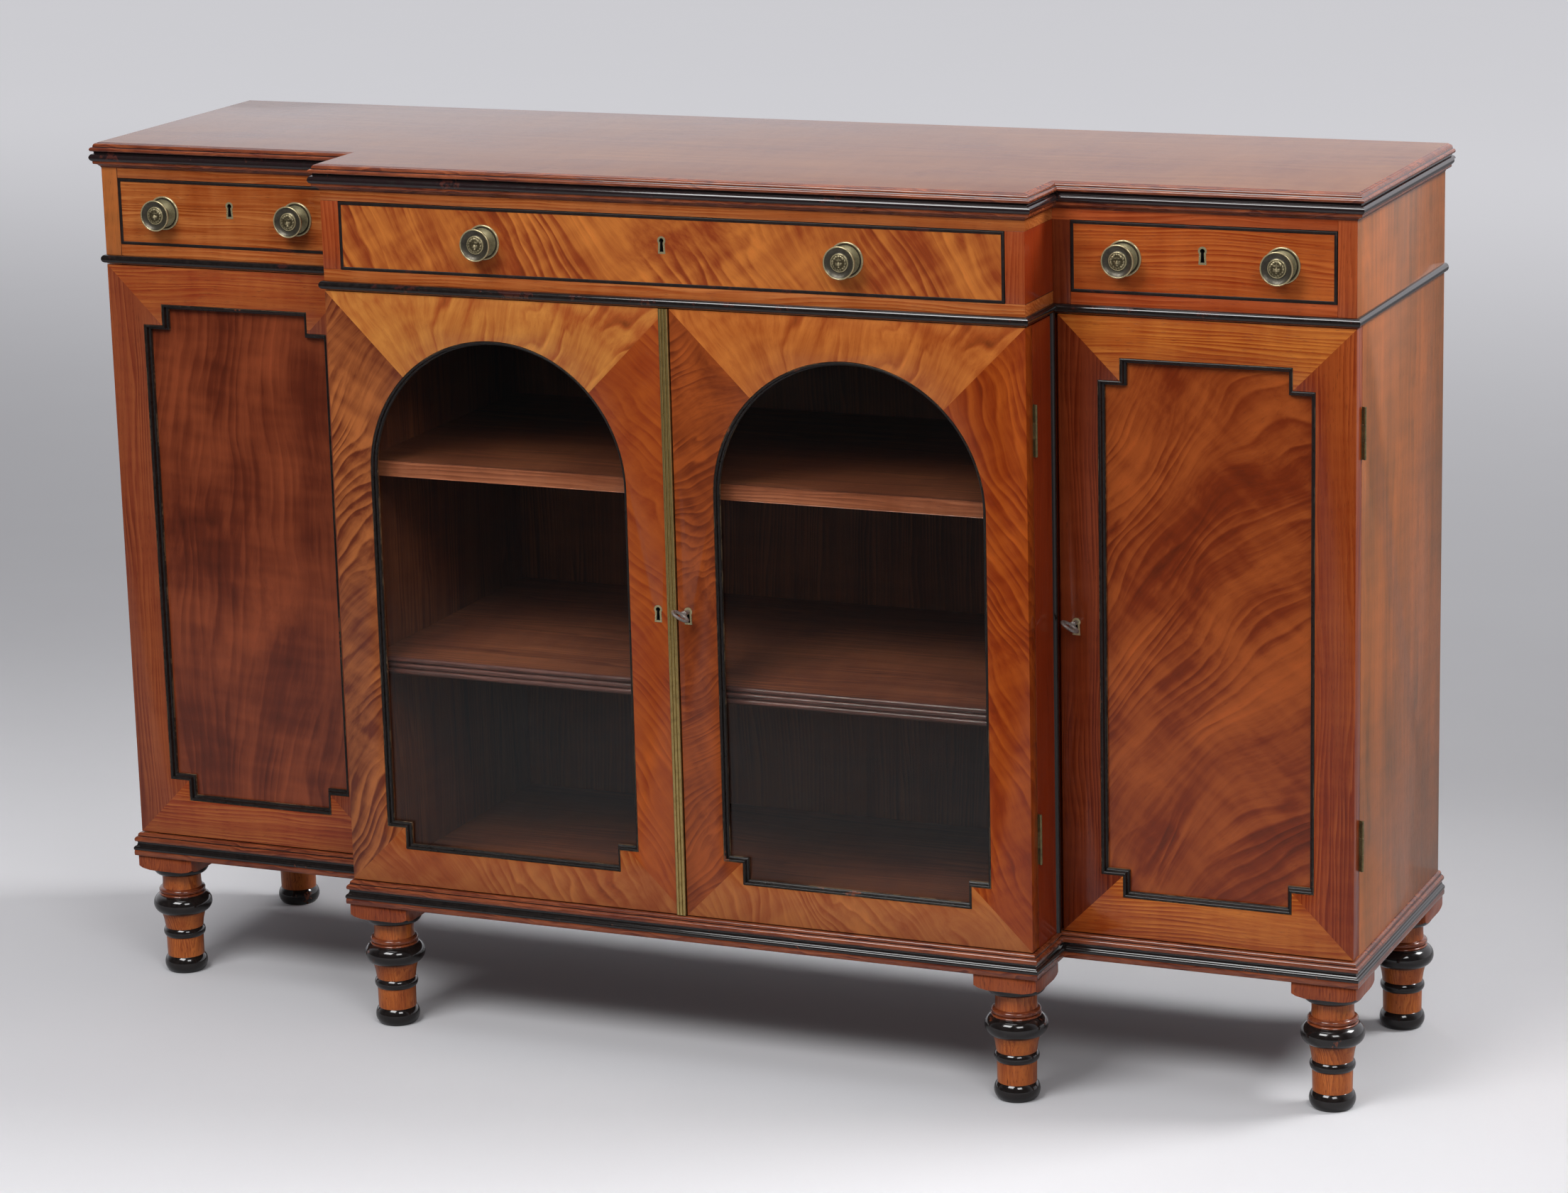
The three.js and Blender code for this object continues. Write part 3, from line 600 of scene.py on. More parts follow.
class Palette:
    """Every finish on the cabinet."""

    rail = Mahogany("rail_mahogany", "#9a491b", "#b86b36")
    wing_frieze = Mahogany("wing_frieze_mahogany", "#933914", "#b05428")
    wing_rail = Mahogany("wing_rail_mahogany", "#994112", "#c4712c")
    stile = Mahogany("stile_mahogany", "#7d2804", "#9d481a", Grain.UPRIGHT)
    case_stile = Mahogany("case_stile_mahogany", "#923b18", "#a54e25", Grain.UPRIGHT)
    # Painted shade: a darker stile that stands in for the shadow cast by the projecting centre, in part the
    # veneer's own darker tone.
    shade_painted_stile = Mahogany("shade_painted_stile_mahogany", "#5e1d07", "#7e3618", Grain.UPRIGHT)
    left_rail = Mahogany("left_rail_mahogany", "#8f3a1b", "#ae5f2c")
    left_stile = Mahogany("left_stile_mahogany", "#7c3620", "#984f2c", Grain.UPRIGHT)
    reveal = Mahogany("reveal_mahogany", "#82290a", "#8f3312", Grain.UPRIGHT)
    end = Mahogany("end_mahogany", "#81512b", "#bb6a33", Grain.UPRIGHT, sway=0.006, ring=0.012,
                   rings=0.06, streak=0.007, streaks=0.3, clouds=0.6, cloud=0.16)
    top = Mahogany("top_mahogany", "#6a371c", "#865635", sway=0.005, ring=0.014, rings=0.08, length=0.5,
                   streaks=0.2, bands=0.3, roughness=0.30, polish=0.7)
    top_band = Mahogany("top_band_mahogany", "#84432a", "#9a583c", Grain.BACKWARD, roughness=0.30,
                        polish=0.7)
    inside = Mahogany("inside_mahogany", "#4c2416", "#6c3c25", polish=0.1, roughness=0.5)
    inside_upright = replace(inside, name="inside_upright_mahogany", dark="#462014", pale="#643620",
                             run=Grain.UPRIGHT)
    shelf_edge = Mahogany("shelf_edge_mahogany", "#6e3820", "#91553a")
    reeded_edge = Mahogany("reeded_edge_mahogany", "#3a1c16", "#56312a")
    worn_edge = Mahogany("worn_edge_mahogany", "#5f2818", "#914b2a", sway=0.002, streak=0.004,
                         length=0.05, clouds=0.35, cloud=0.05, roughness=0.26, polish=0.9)
    drawer_lining = Mahogany("drawer_lining", "#8a633b", "#a98154", Grain.BACKWARD, polish=0.0,
                             roughness=0.6)
    drawer_back = replace(drawer_lining, name="drawer_back_lining", run=Grain.ACROSS)
    bare = Mahogany("bare_back_wood", "#604029", "#80583c", Grain.UPRIGHT, polish=0.0, roughness=0.7,
                    ring=0.011, pores=0.5)
    leg = Mahogany("leg_mahogany", "#9c4a1d", "#c46c2f", Grain.UPRIGHT, sway=0.002, bend=0.08,
                   length=0.05, ring=0.003, pores=0.9, cloud=0.03)
    # The block is darker than the leg: painted shade from the plinth that overhangs it.
    leg_block_in_painted_shade = replace(leg, name="leg_block_mahogany", dark="#7e3416", pale="#9c4c22")
    wing_drawer = Mahogany("wing_drawer_mahogany", "#93350d", "#ba6028", length=0.35)
    left_drawer = Mahogany("left_drawer_mahogany", "#974619", "#c0733a", length=0.35)
    centre_drawer = Flame("centre_drawer_flame", "#913f1b", "#c47232", tilt=58, sway=0.030, bend=0.36,
                          ring=0.012, drift=1.5, streak=0.005, length=0.26, bands=0.8)
    right_panel = Flame("right_panel_flame", "#772b08", "#9f4c1c", tilt=-48, centre=(0.533, 0.0, 0.36),
                        plume=0.35, sway=0.030, bend=0.34, ring=0.012, rings=0.20, drift=1.6,
                        streak=0.005, length=0.26, bands=0.8, clouds=0.9, pores=0.2)
    left_panel = Flame("left_panel_flame", "#622713", "#873f22", tilt=-86, sway=0.016, bend=0.30,
                       ring=0.012, rings=0.12, drift=1.6, streak=0.006, length=0.30, bands=0.6,
                       clouds=1.2, cloud=0.09, pores=0.2)
    rising = Flame("rising_flame", "#692e19", "#ab6233", tilt=-58, ring=0.0085)
    falling = Flame("falling_flame", "#8e3913", "#a54e1a", tilt=50, sway=0.024, ring=0.0095)
    hanging = Flame("hanging_flame", "#842e05", "#a64c13", tilt=62, sway=0.024, ring=0.0095)
    meeting = Flame("meeting_flame", "#702e11", "#9c4a1c", tilt=-28, sway=0.030, bend=0.24,
                    ring=0.0085, rings=0.20, drift=1.5)
    head_left = Flame("arch_head_flame_left", "#a65223", "#cb823c", centre=(-0.1918, 0.0, 0.55),
                      fan=0.20, sway=0.018, bend=0.22, rings=0.24, length=0.15)
    head_right = replace(head_left, name="arch_head_flame_right", dark="#9f4a1a", pale="#c67231",
                         centre=(0.1918, 0.0, 0.55))
    foot = Flame("arch_foot_flame", "#93451c", "#ac6430", tilt=52, bend=0.20, drift=1.5, length=0.15)
    ebony = Ebonised("ebonised")
    framing = Ebonised("ebonised_framing", black="#120e0c", roughness=0.3, polish=0.25)
    stringing = Ebonised("dark_stringing", black="#2b1713", worn="#3f2019", roughness=0.3)
    waist_ebony = Ebonised("ebonised_waist", black="#1c1411", wear=0.35, worn="#4a2a1c", roughness=0.2,
                           polish=0.5)
    browned = Ebonised("browned_round", black="#241719", wear=0.35, worn="#4a2620")
    worn_ebony = Ebonised("worn_ebonised", wear=0.55, worn="#3a1c18")
    cock_bead = Ebonised("ebonised_cock_bead", black="#1d1310", wear=0.35, worn="#3c1c17",
                         roughness=0.45, polish=0.0)
    old_wax = Ebonised("old_wax", black="#3b2f26", worn="#6b5843", wear=0.7, roughness=0.5, polish=0.0)
    brass = Metal("old_brass", "#a59b76", "#5f5942")
    bright_brass = Metal("rubbed_brass", "#c9bb92", "#95875f", tarnish=0.25, roughness=0.32)
    dull_brass = Metal("dark_brass", "#5d574a", "#37332d")
    mask_brass = Metal("mask_brass", "#d6c79c", "#4f4630", tarnish=1.0, roughness=0.30, relief="relief")
    strip_brass = Metal("strip_brass", "#b59c62", "#70592f", tarnish=0.25, roughness=0.26, shine=0.75)
    hinge_brass = Metal("hinge_brass", "#8f8358", "#57503c", tarnish=0.5)
    steel = Metal("old_steel", "#a39a94", "#5a524e", roughness=0.32)
    glass = OldGlass()
    # Painted shade for the insides of keyholes and the floors of screw slots.
    keyhole = PaintedShade()


# Making meshes


@dataclass(frozen=True)
class Member:
    """One member of a section: a line or an arc to a point, and the number of its finish.

    A swell over 0 is a round that stands out to the left of its travel, and under 0 a hollow. It is
    the arc's height over half its chord.
    """

    out: float
    up: float
    swell: float = 0.0
    finish: int = 0


@dataclass(frozen=True)
class Section:
    """A moulding's or a turning's section, as a start and the members that follow."""

    start: Flat
    members: tuple[Member, ...]

    @classmethod
    def of(cls, start: Flat, rows: Iterable[Sequence[float]]) -> Section:
        """Gives the section of a start and members, each written as out, up, swell and finish."""
        return cls(start, tuple(Member(*row) for row in rows))

    def bands(self) -> Iterator[tuple[list[Vector], int]]:
        """Goes through the members.

        Returns:
            Each member's points, with the number of its finish.
        """
        here = Vector(self.start)
        for member in self.members:
            there = Vector((member.out, member.up))
            points = [here, *self.arc(here, there, member.swell)]
            yield points, member.finish
            here = there

    @staticmethod
    def arc(start: Vector, end: Vector, swell: float) -> list[Vector]:
        """Gives the points of a line or an arc.

        Args:
            start: Where it starts.
            end: Where it ends.
            swell: The arc's height over half its chord, or 0 for a line.

        Returns:
            The points after the start.
        """
        if not swell:
            return [end]
        sweep = -4 * math.atan(swell)
        chord = end - start
        middle = (start + end) / 2
        centre = middle - Vector((-chord.y, chord.x)) * (1 - swell**2) / (4 * swell)
        steps = max(2, round(abs(sweep) / ARC_STEP))
        turned = (Matrix.Rotation(sweep * k / steps, 2) @ (start - centre) for k in range(1, steps))
        return [*(centre + arm for arm in turned), end]


@dataclass(frozen=True)
class Station:
    """Where a section stands along its path: its base, and the ways that out and up point there."""

    base: Vector
    lean: Vector
    rise: Vector

    def matrix(self) -> Matrix:
        """Gives the matrix that puts a section's points in place."""
        columns = (self.lean, self.lean.cross(self.rise), self.rise, self.base)
        return Matrix([[column[row] for column in columns] for row in range(3)] + [[0, 0, 0, 1]])


def closed_edges(form: BMesh, points: Iterable[Sequence[float]]) -> list[BMEdge]:
    """Adds a closed line through points and returns its edges."""
    verts = [form.verts.new(point) for point in points]
    return [form.edges.new(pair) for pair in zip(verts, verts[1:] + verts[:1])]


def section_line(form: BMesh, section: Section, matrix: Matrix) -> tuple[list[BMVert], list[BMEdge]]:
    """Adds a section's outline, with each edge's finish kept in a layer.

    Args:
        form: The mesh to add to.
        section: The section.
        matrix: What puts it in place.

    Returns:
        The outline's points and edges, in order.
    """
    layer = form.edges.layers.int.get("finish") or form.edges.layers.int.new("finish")
    verts: list[BMVert] = []
    edges = []
    for points, finish in section.bands():
        places = [matrix @ Vector((point.x, 0, point.y)) for point in points]
        for place in places[1 if verts else 0:]:
            verts.append(form.verts.new(place))
            if len(verts) > 1:
                edge = form.edges.new(verts[-2:])
                edge[layer] = finish + 1
                edges.append(edge)
    return verts, edges


def dress_bands(form: BMesh, older: set[BMFace]) -> None:
    """Gives each new face the finish kept on the edges that it grew from.

    Args:
        form: The mesh.
        older: The faces that were there before.
    """
    layer = form.edges.layers.int["finish"]
    for face in set(form.faces) - older:
        kept = [edge[layer] for edge in face.edges if edge[layer]]
        face.material_index = max(kept, key=kept.count) - 1 if kept else 0


def sweep(form: BMesh, section: Section, stations: Sequence[Station], closed: bool = False) -> None:
    """Extrudes a section along its stations, mitred at each.

    Args:
        form: The mesh to add to.
        section: The section, member by member.
        stations: The places that it passes through, in order.
        closed: Whether the path comes back to its start.
    """
    older = set(form.faces)
    stops = [station.matrix() for station in stations]
    if closed:
        stops.append(stops[0])
    _, edges = section_line(form, section, stops[0])
    for last, here in pairwise(stops):
        grown = bmesh.ops.extrude_edge_only(form, edges=edges)["geom"]
        verts = [part for part in grown if isinstance(part, BMVert)]
        edges = [part for part in grown if isinstance(part, BMEdge)]
        bmesh.ops.transform(form, matrix=here @ last.inverted(), verts=verts)
    dress_bands(form, older)
    bmesh.ops.remove_doubles(form, verts=form.verts, dist=WELD)


def turn(form: BMesh, section: Section, centre: Vector, axis: Vector, sides: int) -> None:
    """Spins a section round an axis.

    Args:
        form: The mesh to add to.
        section: The section, whose out is a radius and whose up runs along the axis.
        centre: Where the axis starts.
        axis: Its direction.
        sides: How many sides the turning has.
    """
    older = set(form.faces)
    matrix = Station(centre, axis.orthogonal().normalized(), axis).matrix()
    verts, edges = section_line(form, section, matrix)
    bmesh.ops.spin(form, geom=verts + edges, cent=centre, axis=axis, angle=math.tau,
                   steps=sides, use_merge=True)
    dress_bands(form, older)
    bmesh.ops.remove_doubles(form, verts=form.verts, dist=WELD)
    bmesh.ops.dissolve_degenerate(form, dist=WELD, edges=form.edges)


def fill_ends(form: BMesh) -> None:
    """Closes every open loop with a flat face."""
    bmesh.ops.edgeloop_fill(form, edges=[edge for edge in form.edges if edge.is_boundary])


def block(form: BMesh, low: Sequence[float], high: Sequence[float], finish: int = 0) -> list[BMVert]:
    """Adds a box.

    Args:
        form: The mesh to add to.
        low: Its lowest corner.
        high: Its highest corner.
        finish: The number of its finish.

    Returns:
        Its points.
    """
    low, high = Vector(low), Vector(high)
    size = high - low
    matrix = Matrix.Translation((low + high) / 2) @ Matrix.Diagonal((*size, 1.0))
    verts = bmesh.ops.create_cube(form, size=1.0, matrix=matrix)["verts"]
    for face in {face for vert in verts for face in vert.link_faces}:
        face.material_index = finish
    return verts


def ease(form: BMesh, amount: float, edges: Iterable[BMEdge] | None = None) -> None:
    """Rounds edges.

    Args:
        form: The mesh.
        amount: How far from an edge its rounding starts.
        edges: The edges, or None for all the sharp ones.
    """
    chosen = list(edges) if edges is not None else [
        edge for edge in form.edges if len(edge.link_faces) == 2 and edge.calc_face_angle() > CREASE]
    bmesh.ops.bevel(form, geom=chosen, offset=amount, offset_type="OFFSET", segments=2,
                    profile=0.5, affect="EDGES", material=-1, clamp_overlap=True)


def cut_at(form: BMesh, place: Sequence[float], normal: Sequence[float]) -> None:
    """Cuts the faces where a plane passes, and takes nothing away."""
    geom = [*form.verts, *form.edges, *form.faces]
    bmesh.ops.bisect_plane(form, geom=geom, dist=WELD, plane_co=place, plane_no=normal)


def plate(outline: Sequence[Flat], holes: Sequence[Sequence[Flat]], front: float) -> BMesh:
    """Makes a flat face in X and Z.

    Args:
        outline: The corners of its outline, in order.
        holes: The corners of each hole in it.
        front: Where it stands along Y.

    Returns:
        The mesh of the face.
    """
    form = bmesh.new()
    edges: list[BMEdge] = []
    for line in (outline, *holes):
        edges += closed_edges(form, ((x, front, z) for x, z in line))
    bmesh.ops.triangle_fill(form, edges=edges, use_beauty=True, normal=(0, -1, 0))
    return form


def thicken(form: BMesh, back: float) -> None:
    """Makes a flat face in X and Z into a solid.

    Args:
        form: The mesh of the face.
        back: Where its back stands along Y.
    """
    front = form.verts[:][0].co.y
    grown = bmesh.ops.extrude_face_region(form, geom=form.faces[:], use_keep_orig=True)["geom"]
    verts = [part for part in grown if isinstance(part, BMVert)]
    bmesh.ops.translate(form, vec=(0, back - front, 0), verts=verts)


def rectangle(low: Flat, high: Flat) -> list[Flat]:
    """Gives the corners of an upright rectangle."""
    return [low, (high[0], low[1]), high, (low[0], high[1])]


@dataclass(frozen=True)
class Place:
    """What a piece moves with, a slot name, and the nodes that it stands for."""

    body: str
    slot: str
    nodes: tuple[str, ...] = ()


def finish_piece(form: BMesh, name: str, finishes: Sequence[Finish], place: Place) -> bpy.types.Object:
    """Turns a mesh in the making into a dressed piece that rides on its body.

    Args:
        form: The mesh, which is used up.
        name: The piece's name.
        finishes: Its finishes, in the order of their numbers.
        place: Its body and nodes; its slot is not read.

    Returns:
        The piece's object.
    """
    bmesh.ops.remove_doubles(form, verts=form.verts, dist=WELD)
    bmesh.ops.recalc_face_normals(form, faces=form.faces)
    for face in form.faces:
        face.smooth = True
    for edge in form.edges:
        edge.smooth = len(edge.link_faces) == 2 and edge.calc_face_angle() < CREASE
    mesh = bpy.data.meshes.new(name)
    form.to_mesh(mesh)
    form.free()
    for finish in finishes:
        mesh.materials.append(finish.material())
    piece = bpy.data.objects.new(name, mesh)
    bpy.context.scene.collection.objects.link(piece)
    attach(piece, place.body)
    if place.nodes:
        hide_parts(*place.nodes)
    LOG.info("%s: %d faces, rides on %s", name, len(mesh.polygons), place.body)
    return piece


def eased_copy(node: bpy.types.Object, amount: float) -> BMesh:
    """Copies a frame node's mesh, with its flat faces whole and its edges rounded.

    Args:
        node: The node's object.
        amount: How far from an edge its rounding starts.

    Returns:
        The mesh of the copy.
    """
    form = bmesh.new()
    form.from_mesh(node.data)
    bmesh.ops.remove_doubles(form, verts=form.verts, dist=WELD)
    bmesh.ops.dissolve_limit(form, angle_limit=FLAT, verts=form.verts, edges=form.edges)
    ease(form, amount)
    return form


# The case


@dataclass(frozen=True)
class CasePlan:
    """The case's outline, read from the frame."""

    half_width: float
    half_centre: float
    wing_front: float
    centre_front: float
    back: float
    foot: float
    plinth_top: float
    board_foot: float
    top: float

    @classmethod
    def read(cls) -> CasePlan:
        """Reads the outline from the frame's own boxes.

        Returns:
            The outline.
        """
        end_low, end_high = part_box("end_right")
        partition_low, partition_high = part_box("partition_right")
        plinth_low, plinth_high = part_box("plinth_moulding")
        board_low, board_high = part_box("top_board")
        return cls(end_high.x, partition_high.x, end_low.y, partition_low.y, end_high.y,
                   plinth_low.z, plinth_high.z, board_low.z, board_high.z)

    def stations(self, back: float | None = None) -> list[Station]:
        """Gives the mitres round the front and ends, from the back left to the back right.

        Args:
            back: Where the path starts and ends along Y, if not at the case's back.

        Returns:
            A station at each corner.
        """
        back = self.back if back is None else back
        corners = [(self.half_width, back, 0.0), (self.half_width, self.wing_front, -1.0),
                   (self.half_centre, self.wing_front, -1.0),
                   (self.half_centre, self.centre_front, -1.0)]
        left = [((-x, y), (-1.0, lean)) for x, y, lean in corners]
        right = [((x, y), (1.0, lean)) for x, y, lean in reversed(corners)]
        return [Station(Vector((*base, 0)), Vector((*lean, 0)), Z_AXIS) for base, lean in left + right]


@dataclass(frozen=True)
class TopBoard:
    """The top: a mahogany board with a moulded edge, a border and a dark line let in."""

    plan: CasePlan
    back_overhang: float = 0.006
    border: float = 0.027
    line: float = 0.0018
    # The numbers of the border's and the line's finishes.
    border_finish: int = 3
    line_finish: int = 4

    def edge(self) -> Section:
        """Gives the edge's section: two worn reeds parted by a black line painted as shade in their valley, a
        black quirk and the upper part of the round.

        Returns:
            The section.
        """
        top, foot = self.plan.top, self.plan.board_foot
        return Section.of((0.0004, top), (
            # The short black member between the reeds is painted shade in their valley.
            (0.0024, top - 0.0009, 0.12, 1), (0.0056, top - 0.0044, 0.42, 1), (0.0060, top - 0.0052, 0.0, 2),
            (0.0078, top - 0.0092, 0.75, 1), (0.0060, top - 0.0097, 0.0, 1), (0.0050, top - 0.0100, 0.0, 2),
            (0.0050, foot + 0.0028, 0.0, 2), (0.00896, foot, 0.318, 2)))

    def build(self) -> None:
        """Sweeps the edge round the board, fills it, and lets in the border and the line."""
        form = bmesh.new()
        sweep(form, self.edge(), self.plan.stations(self.plan.back + self.back_overhang), closed=True)
        fill_ends(form)
        field = max(form.faces, key=lambda face: face.calc_center_median().z + face.calc_area())
        for width, finish in ((self.border, self.border_finish), (self.line, self.line_finish)):
            rim = bmesh.ops.inset_region(form, faces=[field], thickness=width, use_even_offset=True,
                                         use_boundary=True)["faces"]
            for face in rim:
                face.material_index = finish
        for face in form.faces:
            if face.material_index == self.border_finish and self.runs_across(face):
                face.material_index = 0
        finish_piece(form, "top_board_veneered", [
            Palette.top, Palette.worn_edge, Palette.browned, Palette.top_band, Palette.stringing,
        ], Place("case", "mahogany", ("top_board",)))

    @staticmethod
    def runs_across(face: BMFace) -> bool:
        """Says whether a strip of the border is longer along X than along Y."""
        xs, ys = zip(*((vert.co.x, vert.co.y) for vert in face.verts))
        return max(xs) - min(xs) > max(ys) - min(ys)


@dataclass(frozen=True)
class CaseMouldings:
    """The cornice, waist and plinth mouldings, mitred round the breakfront."""

    plan: CasePlan
    cornice_height: float = 0.0124
    waist_proud: float = 0.0045
    bead_width: float = 0.009
    bead_proud: float = 0.0034
    bead_under_waist: float = 0.004

    def cornice(self) -> Section:
        """Gives the section under the top: the rest of the black round over a worn fillet and hollow.

        Returns:
            The section.
        """
        top = self.plan.board_foot
        foot = top - self.cornice_height
        return Section.of((0.0, top), (
            (0.00896, top), (0.0071, top - 0.0050, 0.362), (0.0064, top - 0.0054, 0.0, 1),
            (0.0063, top - 0.0062, 0.0, 1), (0.0056, top - 0.0084, 0.35, 1), (0.0014, top - 0.0108, -0.3, 1),
            (0.0006, top - 0.0110, 0.0, 1), (0.0004, foot, 0.0, 1), (0.0, foot), (0.0, top)))

    def waist(self) -> Section:
        """Gives the half-round bead under the drawers.

        Returns:
            The section.
        """
        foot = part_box("divider_board")[0].z
        return Section.of((0.0, foot + 0.0098), (
            (0.0004, foot + 0.0098), (self.waist_proud, foot + 0.0053, 0.42, 1),
            (0.0004, foot + 0.0008, 0.42), (0.0, foot + 0.0008), (0.0, foot + 0.0098)))

    def plinth(self) -> Section:
        """Gives the plinth's section: two worn reeds parted by a black line painted as shade in their valley,
        a black hollow and round, and a worn fillet.

        Returns:
            The section.
        """
        top, foot = self.plan.plinth_top, self.plan.foot
        return Section.of((0.0, top), (
            # The black member between the reeds is painted shade in their valley.
            (0.0008, top, 0.0, 1), (0.0034, top - 0.0034, 0.42, 1), (0.0037, top - 0.0042, 0.0, 0),
            (0.0060, top - 0.0094, 0.50, 1), (0.0050, top - 0.0100, 0.0, 1), (0.0042, top - 0.0102, 0.0, 0),
            (0.0052, top - 0.0146, -0.25, 0), (0.0074, top - 0.0178, 0.38, 0),
            (0.0072, top - 0.0190, 0.1, 0), (0.0066, top - 0.0194, 0.0, 1), (0.0068, top - 0.0202, 0.0, 1),
            (0.0068, foot + 0.0006, 0.12, 1), (0.0062, foot, 0.2, 1), (0.0, foot), (0.0, top)))

    def build(self) -> None:
        """Sweeps the three mouldings and the two beads in the internal corners."""
        for name, section, black in (("cornice_moulding", self.cornice(), Palette.browned),
                                     ("plinth_moulding", self.plinth(), Palette.ebony)):
            form = bmesh.new()
            sweep(form, section, self.plan.stations())
            fill_ends(form)
            finish_piece(form, f"{name}_swept", [black, Palette.worn_edge],
                         Place("case", "ebonised_wood", (name,)))
        form = bmesh.new()
        sweep(form, self.waist(), self.plan.stations())
        fill_ends(form)
        for side in (-1, 1):
            self.corner_bead(form, side)
        finish_piece(form, "waist_moulding_swept", [Palette.waist_ebony, Palette.worn_ebony],
                     Place("case", "ebonised_wood", ("waist_moulding",)))

    def corner_bead(self, form: BMesh, side: int) -> None:
        """Adds the bead that stands in one internal corner, under the waist.

        Args:
            form: The mesh to add to.
            side: -1 for the left corner and 1 for the right one.
        """
        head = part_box("divider_board")[0].z + self.bead_under_waist
        base = Vector((side * self.plan.half_centre, self.plan.wing_front - self.bead_width / 2, 0))
        out, along = Vector((side, 0, 0)), Vector((0, -side, 0))
        section = Section.of((-self.bead_width / 2, 0.0), (
            (self.bead_width / 2, 0.0, 2 * self.bead_proud / self.bead_width),
            (-self.bead_width / 2, 0.0)))
        stations = [Station(base + Vector((0, 0, z)), along, out) for z in (self.plan.plinth_top, head)]
        bead = bmesh.new()
        sweep(bead, section, stations)
        fill_ends(bead)
        mesh = bpy.data.meshes.new("bead")
        bead.to_mesh(mesh)
        bead.free()
        form.from_mesh(mesh)
        bpy.data.meshes.remove(mesh)


@dataclass(frozen=True)
class Board:
    """A board of the case that keeps the frame's own shape, with rounded edges."""

    node: str
    finish: Finish
    slot: str = "mahogany"
    others: tuple[tuple[Finish, Callable[[Vector], bool]], ...] = ()
    cut: tuple[Sequence[float], Sequence[float]] | None = None
    easing: float = 0.0006

    def build(self, nodes: dict[str, bpy.types.Object]) -> None:
        """Copies the board, rounds it and dresses its parts.

        Args:
            nodes: The frame's nodes by name.
        """
        form = eased_copy(nodes[self.node], self.easing)
        if self.cut:
            cut_at(form, *self.cut)
        for face in form.faces:
            place = face.calc_center_median()
            found = (number for number, (_, where) in enumerate(self.others, 1) if where(place))
            face.material_index = next(found, 0)
        finish_piece(form, f"{self.node}_board", [self.finish, *(finish for finish, _ in self.others)],
                     Place("case", self.slot, (self.node,)))


@dataclass(frozen=True)
class Carcass:
    """The case's boards. Their front edges are as deep as face, and their veneers reach skin deep."""

    plan: CasePlan
    nodes: dict[str, bpy.types.Object]
    face: float = 0.001
    skin: float = 0.015
    back_skin: float = 0.0095

    def build(self) -> None:
        """Builds each board of the case."""
        plan = self.plan
        rail_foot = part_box("partition_right")[1].z
        face, skin = self.face, self.skin
        inside = Palette.inside_upright
        front_edge = (Palette.case_stile, lambda place: place.y < plan.centre_front + face)
        end_edge = (Palette.case_stile, lambda place: place.y < plan.wing_front + face)
        right_wing = (Palette.wing_frieze, lambda place: place.x > plan.half_centre and place.z > rail_foot)
        boards = [
            Board("end_left", Palette.end, others=(
                (inside, lambda place: place.x > -plan.half_width + skin),)),
            Board("end_right", Palette.end, others=(
                end_edge, (inside, lambda place: place.x < plan.half_width - skin))),
            Board("partition_left", Palette.reveal, others=(
                front_edge, (inside, lambda place: place.x > -plan.half_centre + skin))),
            Board("partition_right", Palette.reveal, others=(
                front_edge, (inside, lambda place: place.x < plan.half_centre - skin))),
            Board("front_frame", Palette.case_stile, others=(
                right_wing, (Palette.rail, lambda place: place.z > rail_foot),
                # The wing's inner stile beside the return takes the stile painted with the centre's shade.
                (Palette.shade_painted_stile, lambda place: place.x > plan.half_centre),
            ), cut=((0, 0, rail_foot), (0, 0, 1))),
            Board("divider_board", Palette.rail, others=(
                (Palette.inside, lambda place: place.y > plan.wing_front + face
                 or (abs(place.x) < plan.half_centre and place.y > plan.centre_front + face)),
                (Palette.wing_frieze, lambda place: place.x > plan.half_centre))),
            Board("bottom_board", Palette.inside),
            Board("back_panel", Palette.bare, slot="inner_wood", others=(
                (inside, lambda place: place.y < plan.back - self.back_skin),)),
        ]
        for board in boards:
            board.build(self.nodes)


@dataclass(frozen=True)
class Shelf:
    """A shelf in the centre cupboard, its front edge plain or reeded."""

    node: str
    reeds: int
    edge: Finish
    reed_swell: float = 0.8
    easing: float = 0.0008

    def build(self) -> None:
        """Extrudes the shelf's section from side to side."""
        low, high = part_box(self.node)
        thick, back = high.z - low.z, low.y - high.y
        members = [(0.0, high.z)]
        if self.reeds:
            step = thick / self.reeds
            proud = self.reed_swell / 2 * thick / self.reeds
            members += [(0.0, high.z - step * (i + 1), self.reed_swell, 1) for i in range(self.reeds)]
        else:
            proud = self.easing
            members += [(-proud, high.z - proud, 0.3, 1), (-proud, low.z + proud, 0.0, 1),
                        (0.0, low.z, 0.3, 1)]
        members += [(back, low.z), (back, high.z)]
        base = Vector((0, low.y + proud, 0))
        section = Section.of((back, high.z), members)
        stations = [Station(base + X_AXIS * x, -Y_AXIS, Z_AXIS) for x in (low.x, high.x)]
        form = bmesh.new()
        sweep(form, section, stations)
        fill_ends(form)
        finish_piece(form, f"{self.node}_edged", [Palette.inside, self.edge],
                     Place("case", "mahogany", (self.node,)))


